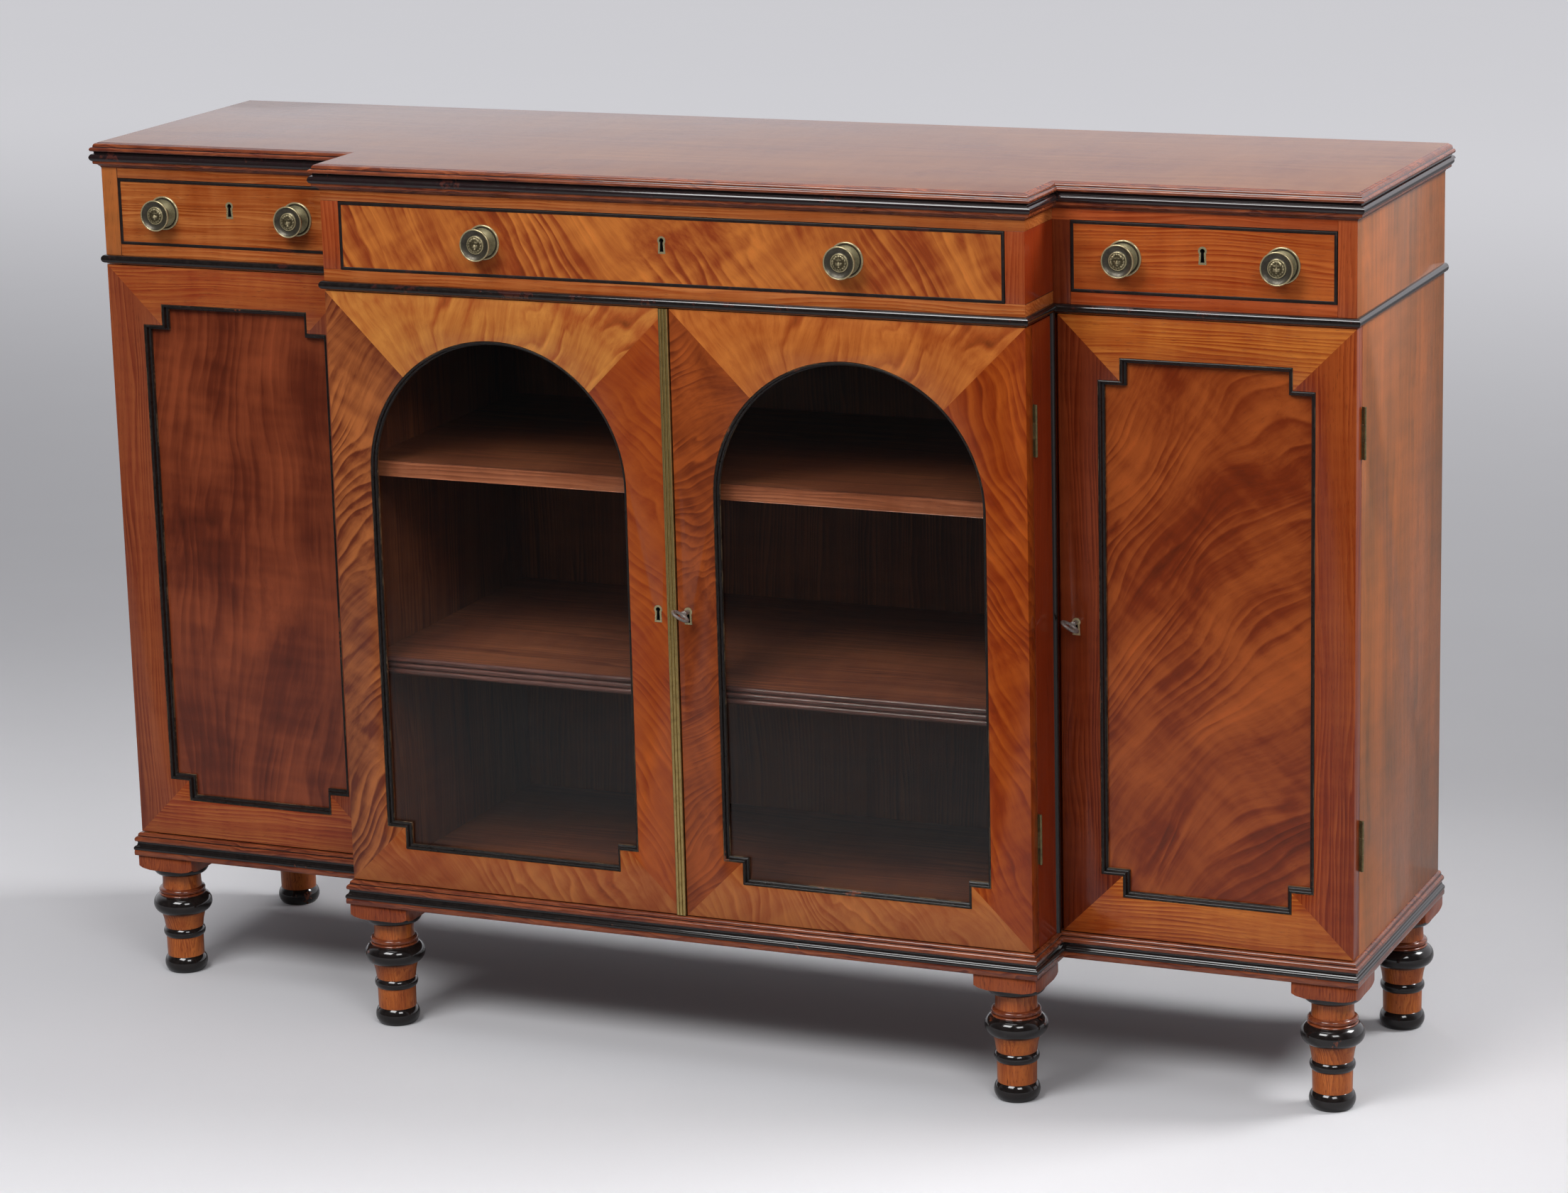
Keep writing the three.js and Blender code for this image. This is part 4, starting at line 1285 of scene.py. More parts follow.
@dataclass(frozen=True)
class TurnedLeg:
    """A turned leg under a square block: mahogany drums between black rings."""

    node: str
    sides: int = 56
    block_half: float = 0.033
    block_foot: float = 0.1205
    shoulder_out: float = 0.0144
    shoulder_up: float = 0.0075
    shoulder_cuts: int = 4
    shoulder_sides: int = 56
    easing: float = 0.0005
    # The number of the block's finish: the darker mahogany, painted shade under the plinth.
    block_shade_finish: int = 3

    def section(self) -> Section:
        """Gives the turned outline, from the block down. Finish 0 is wood, 1 black and 2 the worn bead.

        Returns:
            The section.
        """
        foot = self.block_foot
        return Section.of((0.0, foot), (
            (0.0296, foot, 0.0, 1), (0.0304, foot - 0.0009, 0.3, 1), (0.0238, 0.1118, 0.36, 1),
            (0.0222, 0.1110, 0.0, 1), (0.0211, 0.1106), (0.0215, 0.0964, -0.04), (0.0232, 0.0960, 0.0, 2),
            (0.0240, 0.0908, 0.62, 2), (0.0236, 0.0903, 0.0, 2), (0.0255, 0.0892, 0.35, 2),
            (0.0251, 0.0882, 0.2, 2), (0.0256, 0.0880, 0.0, 1), (0.0250, 0.0676, 0.66, 1),
            (0.0242, 0.0670, 0.0, 1), (0.0238, 0.0668), (0.0206, 0.0502, -0.05), (0.0210, 0.0498, 0.0, 1),
            (0.0208, 0.0402, 0.42, 1), (0.0203, 0.0398), (0.0200, 0.0180), (0.0204, 0.0176, 0.0, 1),
            (0.0190, 0.0, 0.42, 1), (0.0, 0.0, 0.0, 1)))

    def turn_shoulder(self, form: BMesh, centre: Vector) -> None:
        """Turns the block's lower corners off to a rounded shoulder, one flat cut at a time.

        Args:
            form: The mesh of the block.
            centre: The leg's foot.
        """
        out, up = self.shoulder_out, self.shoulder_up
        for level in range(1, self.shoulder_cuts + 1):
            angle = math.pi / 2 * (level - 0.5) / self.shoulder_cuts
            reach = self.block_half + out * math.sin(angle)
            height = self.block_foot + up * (1 - math.cos(angle))
            for k in range(self.shoulder_sides):
                way = math.tau * (k + 0.5) / self.shoulder_sides
                arm = Vector((math.cos(way), math.sin(way), 0))
                place = Vector((centre.x, centre.y, height)) + arm * reach
                normal = arm * (up * math.sin(angle)) - Vector((0, 0, out * math.cos(angle)))
                geom = [*form.verts, *form.edges, *form.faces]
                cut = bmesh.ops.bisect_plane(form, geom=geom, dist=WELD, plane_co=place, plane_no=normal,
                                             clear_outer=True)["geom_cut"]
                edges = [part for part in cut if isinstance(part, BMEdge)]
                if edges:
                    bmesh.ops.edgeloop_fill(form, edges=edges)

    def build(self) -> None:
        """Turns the column and sets the block on it."""
        low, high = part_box(self.node)
        centre = Vector(((low.x + high.x) / 2, (low.y + high.y) / 2, low.z))
        half = self.block_half
        form = bmesh.new()
        block(form, (centre.x - half, centre.y - half, self.block_foot),
              (centre.x + half, centre.y + half, high.z))
        ease(form, self.easing)
        self.turn_shoulder(form, centre)
        for part in form.faces:
            part.material_index = self.block_shade_finish
        turn(form, self.section(), centre, Z_AXIS, self.sides)
        finish_piece(form, f"{self.node}_turned", [
            Palette.leg, Palette.ebony, Palette.worn_edge, Palette.leg_block_in_painted_shade,
        ], Place("case", "leg_wood", (self.node,)))


# Brass and steel


@dataclass(frozen=True)
class Keyhole:
    """A keyhole in a front: a round eye over a flared slot, rimmed with thin brass."""

    name: str
    x: float
    z: float
    face: float
    place: Place
    eye: float = 0.0024
    waist: float = 0.0014
    foot: float = 0.0020
    drop: float = 0.0112
    rim: float = 0.0020
    proud: float = 0.0002
    rim_depth: float = 0.0015
    depth: float = 0.0075
    steps: int = 14

    def outline(self, grow: float) -> list[Flat]:
        """Gives the keyhole's outline.

        Args:
            grow: How far it is grown outwards.

        Returns:
            Its points in X and Z.
        """
        eye = self.eye + grow
        start = -math.acos(min(1.0, (self.waist + grow) / eye))
        points = []
        for i in range(self.steps + 1):
            angle = start + (math.pi - 2 * start) * i / self.steps
            points.append((self.x + eye * math.cos(angle), self.z + eye * math.sin(angle)))
        foot = self.z - self.drop - grow
        return [*points, (self.x - self.foot - grow, foot), (self.x + self.foot + grow, foot)]

    def build(self) -> None:
        """Makes the rim, and the hole behind it, whose walls and floor are painted near-black as shade."""
        form = bmesh.new()
        front = self.face - self.proud
        rings = [closed_edges(form, ((x, front, z) for x, z in self.outline(grow)))
                 for grow in (self.rim, 0.0)]
        bmesh.ops.bridge_loops(form, edges=rings[0] + rings[1])
        for ring, deep in ((rings[0], self.rim_depth), (rings[1], self.depth)):
            grown = bmesh.ops.extrude_edge_only(form, edges=ring)["geom"]
            verts = [part for part in grown if isinstance(part, BMVert)]
            bmesh.ops.translate(form, vec=(0, deep, 0), verts=verts)
            # The hole's walls and floor take finish 1, painted shade.
            if deep == self.depth:
                for face in (part for part in grown if isinstance(part, BMFace)):
                    face.material_index = 1
                floor = [part for part in grown if isinstance(part, BMEdge)]
                for face in bmesh.ops.edgeloop_fill(form, edges=floor)["faces"]:
                    face.material_index = 1
        finish_piece(form, self.name, [Palette.bright_brass, Palette.keyhole], self.place)


@dataclass(frozen=True)
class LionMask:
    """A small lion's face in relief, of a traditional kind, on a knob's boss.

    Its lumps are muzzle, nose, nostrils, brows, eye hollows, eyes, cheeks, mouth, chin, forehead
    and ears. Each is its place across and up, its width, its height and its lift. One that is off
    the middle has a twin.
    """

    radius: float = 0.0085
    height: float = 0.0028
    rings: int = 18
    rays: int = 54
    lumps: tuple[tuple[float, ...], ...] = (
        (0.0, -0.22, 0.24, 0.22, 0.62), (0.0, 0.02, 0.10, 0.30, 0.42), (0.0, -0.06, 0.13, 0.09, 0.30),
        (0.24, 0.30, 0.20, 0.09, 0.34), (0.27, 0.10, 0.10, 0.07, -0.30), (0.27, 0.10, 0.05, 0.04, 0.26),
        (0.33, -0.16, 0.15, 0.17, 0.26), (0.0, -0.36, 0.20, 0.03, -0.40), (0.0, -0.50, 0.16, 0.09, 0.34),
        (0.0, 0.46, 0.24, 0.14, 0.24), (0.46, 0.52, 0.12, 0.12, 0.40))
    locks: int = 15
    lock_sweep: float = 9
    mane_reach: float = 0.80
    mane_width: float = 0.17

    def relief(self, across: float, up: float) -> float:
        """Gives the face's height.

        Args:
            across: The place to the right of the middle, on a disc of radius 1.
            up: The place above the middle.

        Returns:
            The height, from 0 to about 1.
        """
        height = 0.0
        for x, y, wide, tall, lift in self.lumps:
            for side in ((-1, 1) if x else (1,)):
                reach = ((across - side * x) / wide) ** 2 + ((up - y) / tall) ** 2
                height += lift * math.exp(-reach)
        out = math.hypot(across, up)
        lock = 0.5 + 0.5 * math.cos(self.locks * math.atan2(across, up) + self.lock_sweep * out)
        mane = math.exp(-(((out - self.mane_reach) / self.mane_width) ** 2))
        return height + mane * (0.28 + 0.34 * lock)

    def build(self, form: BMesh, centre: Vector, finish: int) -> None:
        """Adds the mask, facing the front, with its heights kept as the relief layer.

        Args:
            form: The mesh to add to.
            centre: The middle of its back.
            finish: The number of its finish.
        """
        layer = form.verts.layers.float.get("relief") or form.verts.layers.float.new("relief")
        older = set(form.verts)
        verts = [form.verts.new(centre + X_AXIS * (self.radius * k / self.rings))
                 for k in range(self.rings + 1)]
        edges = [form.edges.new(pair) for pair in pairwise(verts)]
        bmesh.ops.spin(form, geom=verts + edges, cent=centre, axis=Y_AXIS, angle=math.tau,
                       steps=self.rays, use_merge=True)
        newer = set(form.verts) - older
        for face in {face for vert in newer for face in vert.link_faces}:
            face.material_index = finish
        for vert in newer:
            across, up = (vert.co.x - centre.x) / self.radius, (vert.co.z - centre.z) / self.radius
            dome = math.sqrt(max(0.0, 1 - 0.85 * (across**2 + up**2))) - math.sqrt(0.15)
            rim = min(1.0, (1 - math.hypot(across, up)) * 9)
            lift = self.relief(across, up) * rim
            vert[layer] = lift
            vert.co.y -= self.height * (0.75 * dome + 0.62 * lift)


@dataclass(frozen=True)
class Knob:
    """A turned brass knob: a back plate with a groove, a short neck, and a dish round a mask."""

    node: str
    body: str
    sides: int = 64
    mask_stands: float = 0.0184

    def section(self) -> Section:
        """Gives the outline from the boss back to the drawer's face. Finish 1 is rubbed and 2 dark.

        Returns:
            The section.
        """
        return Section.of((0.0082, 0.0189), (
            (0.0090, 0.0188, 0.3, 1), (0.0094, 0.0178, 0.2, 1), (0.0098, 0.0176, 0.0, 2),
            (0.0150, 0.0198, -0.16, 2), (0.0154, 0.0204, 0.2, 1), (0.0165, 0.0196, 0.5, 1),
            (0.0162, 0.0186, 0.2, 1), (0.0120, 0.0162, 0.15), (0.0068, 0.0128, -0.3, 2),
            (0.0060, 0.0100, 0.0, 2), (0.0062, 0.0060, 0.0, 2), (0.0080, 0.0040, -0.35, 2),
            (0.0146, 0.0017, -0.10), (0.0151, 0.0008, 0.0, 2), (0.0159, 0.0008, 0.0, 2),
            (0.0163, 0.0016, 0.2, 1), (0.0179, 0.0009, 0.45, 1), (0.0179, 0.0, 0.0, 1),
            (0.0, 0.0, 0.0, 1)))

    def build(self) -> None:
        """Turns the knob and sets the mask on its face."""
        low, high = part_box(self.node)
        centre = Vector(((low.x + high.x) / 2, high.y, (low.z + high.z) / 2))
        form = bmesh.new()
        form.verts.layers.float.new("relief")
        turn(form, self.section(), centre, -Y_AXIS, self.sides)
        LionMask().build(form, centre - Y_AXIS * self.mask_stands, 3)
        finish_piece(form, f"{self.node}_turned", [
            Palette.brass, Palette.bright_brass, Palette.dull_brass, Palette.mask_brass,
        ], Place(self.body, "brass", (self.node,)))


@dataclass(frozen=True)
class Screw:
    """A small slotted screw let in flush."""

    radius: float = 0.0021
    slot: float = 0.0005
    proud: float = 0.00012
    sides: int = 16
    slant: float = math.radians(35)

    def build(self, form: BMesh, centre: Vector, out: Vector) -> None:
        """Adds the head, as two half discs of finish 0, parted by a slot whose floor, finish 1, is painted
        shade.

        Args:
            form: The mesh to add to.
            centre: The head's middle, in the surface.
            out: The way that it faces.
        """
        columns = (Z_AXIS.cross(out), Z_AXIS, out)
        basis = Matrix([[c[row] for c in columns] + [0.0] for row in range(3)] + [[0, 0, 0, 1]])
        turned = Matrix.Rotation(self.slant, 4, out)
        for side in (-1, 1):
            older = set(form.faces)
            face = bmesh.ops.create_circle(form, cap_ends=True, segments=self.sides,
                                           radius=self.radius)["verts"]
            bmesh.ops.transform(form, matrix=Matrix.Translation(centre + out * self.proud) @ turned @ basis,
                                verts=face)
            normal = (turned @ Z_AXIS.cross(out)) * side
            disc = list(set(form.faces) - older)
            geom = [*face, *{edge for part in disc for edge in part.edges}, *disc]
            bmesh.ops.bisect_plane(form, geom=geom, dist=WELD, plane_co=centre + normal * self.slot / 2,
                                   plane_no=normal, clear_inner=True)
            for part in set(form.faces) - older:
                part.material_index = 0
                grown = bmesh.ops.extrude_face_region(form, geom=[part], use_keep_orig=True)["geom"]
                verts = [piece for piece in grown if isinstance(piece, BMVert)]
                bmesh.ops.translate(form, vec=-out * self.proud * 3, verts=verts)
        half = (turned @ Z_AXIS) * self.radius * 0.9
        # The slot's floor is painted shade.
        floor = [form.verts.new(centre + out * self.proud * 0.2 + corner) for corner in (
            half + normal * self.slot, half - normal * self.slot, -half - normal * self.slot,
            -half + normal * self.slot)]
        form.faces.new(floor).material_index = 1


@dataclass(frozen=True)
class HingeLeaf:
    """One leaf of a brass butt hinge, with its knuckles and its screws.

    Near and far are how far its plate's faces lie from the pin, and barrel is the knuckle's radius
    over the pin's distance from the leaf's outer edge.
    """

    door: str
    level: str
    kind: str
    body: str
    width: float = 0.014
    tongue: float = 0.001
    near: float = 0.00015
    far: float = 0.00125
    gap: float = 0.0003
    barrel: float = 0.62
    easing: float = 0.0003
    sides: int = 28
    pin_radius: float = 0.0011
    pin_reach: float = 0.001
    pin_sides: int = 14
    screws: int = 3
    screw_insets: Flat = (0.0055, 0.0085)

    def knuckle(self, radius: float, start: float, end: float) -> Section:
        """Gives the section of one knuckle.

        Args:
            radius: Its radius.
            start: Its foot along the pin.
            end: Its head along the pin.

        Returns:
            The section.
        """
        soft = self.easing
        return Section.of((0.0, start), (
            (radius - soft, start), (radius, start + soft, 0.4), (radius, end - soft),
            (radius - soft, end, 0.4), (0.0, end)))

    def build(self) -> None:
        """Makes the plate, the tongues, the knuckles and the screws of the leaf."""
        node = f"hinge_{self.door}_{self.level}_{self.kind}"
        low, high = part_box(node)
        side = 1 if low.x > 0 else -1
        radius = (high.y - low.y) / 2
        axis = Vector(((high.x if side > 0 else low.x) - side * radius, (low.y + high.y) / 2, low.z))
        radius *= self.barrel
        third = (high.z - low.z) / 3
        lean = 1 if self.kind == "fixed" else -1
        near, far = axis.y + lean * self.near, axis.y + lean * self.far
        front, back = sorted((near, far))
        edge = (low.x if side > 0 else high.x) + side * self.width
        ends = sorted((edge - side * self.width, edge))
        form = bmesh.new()
        block(form, (ends[0], front, low.z), (ends[1], back, high.z))
        middle = (third + self.gap, 2 * third - self.gap)
        for start, end in ((0.0, third), (2 * third, 3 * third)) if lean > 0 else (middle,):
            ends = sorted((edge - side * self.tongue, axis.x))
            block(form, (ends[0], front, low.z + start), (ends[1], back, low.z + end))
            turn(form, self.knuckle(radius, start, end), axis, Z_AXIS, self.sides)
        if lean > 0:
            thin, start, end = self.pin_radius, third - self.pin_reach, 2 * third + self.pin_reach
            pin = Section.of((0.0, start), ((thin, start), (thin, end), (0.0, end)))
            turn(form, pin, axis, Z_AXIS, self.pin_sides)
        for i in range(self.screws):
            spot = Vector((edge - side * self.screw_insets[i % 2], near,
                           low.z + (i + 0.5) * (high.z - low.z) / self.screws))
            Screw().build(form, spot, -Y_AXIS * lean)
        finish_piece(form, f"{node}_leaf", [Palette.hinge_brass, Palette.keyhole],
                     Place(self.body, "brass", (node,)))


@dataclass(frozen=True)
class CupboardKey:
    """A steel key left in its door: an oval bow, a collared shaft and a square bit."""

    node: str
    body: str
    face: float
    rest_turn: float = math.radians(30)
    bow_wide: float = 0.0086
    bow_deep: float = 0.0056
    bow_thick: float = 0.0019
    bow_flat: float = 0.8
    bow_steps: int = 36
    wire_sides: int = 12
    sides: int = 20
    bit_low: Triple = (0.0015, -0.0045, -0.0009)
    bit_high: Triple = (0.0075, -0.0003, 0.0009)
    bit_easing: float = 0.0003

    def bow(self, form: BMesh, middle: float) -> None:
        """Sweeps a flattened wire round the bow's oval.

        Args:
            form: The mesh to add to.
            middle: The place of the bow's centre along the shaft.
        """
        angles = (math.tau * k / self.wire_sides for k in range(1, self.wire_sides + 1))
        wire = Section.of((self.bow_thick, 0.0), (
            (self.bow_thick * math.cos(angle), self.bow_thick * self.bow_flat * math.sin(angle))
            for angle in angles))
        stations = []
        for i in range(self.bow_steps):
            angle = math.tau * i / self.bow_steps
            lean = Vector((math.cos(angle) * self.bow_deep, math.sin(angle) * self.bow_wide, 0)).normalized()
            base = Vector((math.cos(angle) * self.bow_wide, middle + math.sin(angle) * self.bow_deep, 0))
            stations.append(Station(base, lean, Z_AXIS))
        sweep(form, wire, stations, closed=True)

    def build(self) -> None:
        """Makes the key along Y, and turns it as it stands in its lock at rest."""
        low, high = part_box(self.node)
        centre = Vector(((low.x + high.x) / 2, self.face, (low.z + high.z) / 2))
        middle = low.y + self.bow_thick + self.bow_deep - self.face
        form = bmesh.new()
        self.bow(form, middle)
        start, end = middle + self.bow_deep - 0.0008, high.y - self.face
        shaft = Section.of((0.0, start), (
            (0.0020, start), (0.0024, start + 0.0012, 0.2), (0.0033, start + 0.0016),
            (0.0033, start + 0.0032, 0.6), (0.0024, start + 0.0036), (0.0023, end - 0.0006),
            (0.0016, end, 0.3), (0.0, end)))
        turn(form, shaft, Vector((0, 0, 0)), Y_AXIS, self.sides)
        tip = Y_AXIS * end
        bit = block(form, tip + Vector(self.bit_low), tip + Vector(self.bit_high))
        ease(form, self.bit_easing, {edge for vert in bit for edge in vert.link_edges})
        turned = Matrix.Translation(centre) @ Matrix.Rotation(self.rest_turn, 4, "Y")
        bmesh.ops.transform(form, matrix=turned, verts=form.verts)
        finish_piece(form, f"{self.node}_forged", [Palette.steel], Place(self.body, "steel", (self.node,)))


# Drawers


@dataclass(frozen=True)
class Lock:
    """A brass lock let into the back of a drawer's front or a door's stile.

    A block of it is half its width, where its near and far faces lie behind the wood, and how far
    its foot and head lie under the lock's level. A screw is its place across, and under the level.
    """

    name: str
    body: str
    x: float
    back: float
    level: float
    blocks: tuple[tuple[float, ...], ...]
    screws: tuple[Flat, ...]
    screw_face: float
    screw_radius: float = 0.0021
    easing: float = 0.0004

    def build(self) -> None:
        """Makes the blocks and sets the screws."""
        x, back, level = self.x, self.back, self.level
        form = bmesh.new()
        for half, near, far, foot, head in self.blocks:
            block(form, (x - half, back + near, level - foot), (x + half, back + far, level - head))
        ease(form, self.easing)
        for across, under in self.screws:
            spot = Vector((x + across, back + self.screw_face, level - under))
            Screw(self.screw_radius).build(form, spot, Y_AXIS)
        finish_piece(form, self.name, [Palette.hinge_brass, Palette.keyhole], Place(self.body, "brass"))


@dataclass(frozen=True)
class DrawerLock(Lock):
    """A drawer's lock: its plate, its case and the stop of its bolt, under the front's top."""

    blocks: tuple[tuple[float, ...], ...] = (
        (0.028, -0.004, 0.0006, 0.040, 0.0045), (0.019, -0.004, 0.0034, 0.036, 0.0075),
        (0.0075, 0.0004, 0.0030, 0.0046, 0.0032))
    screws: tuple[Flat, ...] = ((-0.0235, 0.010), (0.0235, 0.010), (-0.0235, 0.034), (0.0235, 0.034))
    screw_face: float = 0.0006


@dataclass(frozen=True)
class DoorLock(Lock):
    """A door's lock: a case let into the meeting stile, level with the key."""

    blocks: tuple[tuple[float, ...], ...] = ((0.0107, -0.010, 0.00012, 0.0167, -0.0167),)
    screws: tuple[Flat, ...] = ((-0.008, -0.013), (0.008, -0.013), (-0.008, 0.013), (0.008, 0.013))
    screw_face: float = 0.00012
    screw_radius: float = 0.0014
    easing: float = 0.0003


@dataclass(frozen=True)
class Drawer:
    """A frieze drawer: a veneered front in a black bead, and a lined box behind it."""

    name: str
    veneer: Finish
    bead_width: float = 0.003
    bead_proud: float = 0.0012
    front_thick: float = 0.018
    side_thick: float = 0.010
    bottom_thick: float = 0.006
    side_gap: float = 0.0016
    top_gap: float = 0.006
    back_drop: float = 0.004
    key_rise: float = 0.0105
    easing: float = 0.0008

    @property
    def body(self) -> str:
        """Names the drawer's body."""
        return f"{self.name}_drawer"

    def build(self) -> None:
        """Builds the front, bead, box, lock, keyhole and knobs."""
        node = f"drawer_{self.name}"
        low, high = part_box(node)
        face = low.y + self.bead_proud
        back = face + self.front_thick
        bead = self.bead_width
        middle = (low.x + high.x) / 2
        hole = Keyhole(f"{node}_escutcheon", middle, (low.z + high.z) / 2 + self.key_rise, face,
                       Place(self.body, "brass"))
        form = plate(rectangle((low.x + bead, low.z + bead), (high.x - bead, high.z - bead)),
                     [hole.outline(hole.rim)], face)
        thicken(form, back)
        for part in form.faces:
            part.material_index = int(part.calc_center_median().y > face + MILLIMETRE)
        finish_piece(form, f"{node}_front", [self.veneer, Palette.rail],
                     Place(self.body, "mahogany", (node,)))
        hole.build()
        self.cock_bead(node, low, high, face, back)
        self.box(node, low, high, back)
        DrawerLock(f"{node}_lock", self.body, middle, back, high.z).build()
        for letter in "ab":
            Knob(f"knob_{self.name}_{letter}", self.body).build()

    def cock_bead(self, node: str, low: Vector, high: Vector, face: float, back: float) -> None:
        """Sweeps the black bead round the front's edges.

        Args:
            node: The drawer's node.
            low: Its lowest corner.
            high: Its highest corner.
            face: Where the front's face stands along Y.
            back: Where the front's back stands.
        """
        wide = self.bead_width
        nose = self.bead_proud
        section = Section.of((0.0, face - back), (
            (0.0, nose * 0.4), (wide, nose * 0.4, 0.38), (wide, face - back), (0.0, face - back)))
        corners = [((low.x, low.z), (1, 1)), ((high.x, low.z), (-1, 1)), ((high.x, high.z), (-1, -1)),
                   ((low.x, high.z), (1, -1))]
        stations = [Station(Vector((x, face, z)), Vector((a, 0, b)), -Y_AXIS) for (x, z), (a, b) in corners]
        form = bmesh.new()
        sweep(form, section, stations, closed=True)
        finish_piece(form, f"{node}_cock_bead", [Palette.cock_bead], Place(self.body, "ebonised_wood"))

    def box(self, node: str, low: Vector, high: Vector, front: float) -> None:
        """Boards up the sides, back and bottom.

        Args:
            node: The drawer's node.
            low: Its lowest corner.
            high: Its highest corner.
            front: Where the box meets the front along Y.
        """
        left, right = low.x + self.side_gap, high.x - self.side_gap
        head = high.z - self.top_gap
        side, base = self.side_thick, self.bottom_thick
        form = bmesh.new()
        block(form, (left, front, low.z), (left + side, high.y, head), 0)
        block(form, (right - side, front, low.z), (right, high.y, head), 0)
        block(form, (left + side, high.y - side, low.z + base),
              (right - side, high.y, head - self.back_drop), 1)
        block(form, (left + side, front, low.z), (right - side, high.y, low.z + base), 1)
        ease(form, self.easing)
        finish_piece(form, f"{node}_box", [Palette.drawer_lining, Palette.drawer_back],
                     Place(self.body, "inner_wood"))


# Doors


@dataclass(frozen=True)
class Opening:
    """A door's opening with re-entrant square corners, under a square or a round head."""

    middle: float
    half: float
    foot: float
    head: float
    notch_wide: float
    notch_high: float
    arched: bool
    steps: int = 56

    def outline(self, inset: float = 0.0) -> list[Flat]:
        """Gives the outline.

        Args:
            inset: How much smaller it is drawn all round.

        Returns:
            Its points in X and Z.
        """
        half, foot, head = self.half - inset, self.foot + inset, self.head - inset
        wide, high = self.notch_wide, self.notch_high
        lower = [(-half + wide, foot), (half - wide, foot), (half - wide, foot + high), (half, foot + high)]
        if self.arched:
            spring = head - half
            angles = [math.pi * i / self.steps for i in range(self.steps + 1)]
            upper = [(half * math.cos(angle), spring + half * math.sin(angle)) for angle in angles]
        else:
            upper = [(half, head - high), (half - wide, head - high), (half - wide, head),
                     (-half + wide, head), (-half + wide, head - high), (-half, head - high)]
        points = [*lower, *upper, (-half, foot + high), (-half + wide, foot + high)]
        return [(x + self.middle, z) for x, z in points]

    def stations(self, face: float) -> list[Station]:
        """Gives a station at each point of the outline, leaning into the opening.

        Args:
            face: Where the door's face stands along Y.

        Returns:
            The stations. Each leans as far as its point moves for an inset of a millimetre, times 1000.
        """
        pairs = zip(self.outline(), self.outline(MILLIMETRE))
        return [Station(Vector((x, face, z)), Vector(((to_x - x) * 1000, 0, (to_z - z) * 1000)), -Y_AXIS)
                for (x, z), (to_x, to_z) in pairs]


@dataclass(frozen=True)
class DoorFinishes:
    """What a door's mitred frame is veneered with, and what fills its opening."""

    left: Finish
    right: Finish
    head: Finish
    foot: Finish
    filler: Finish


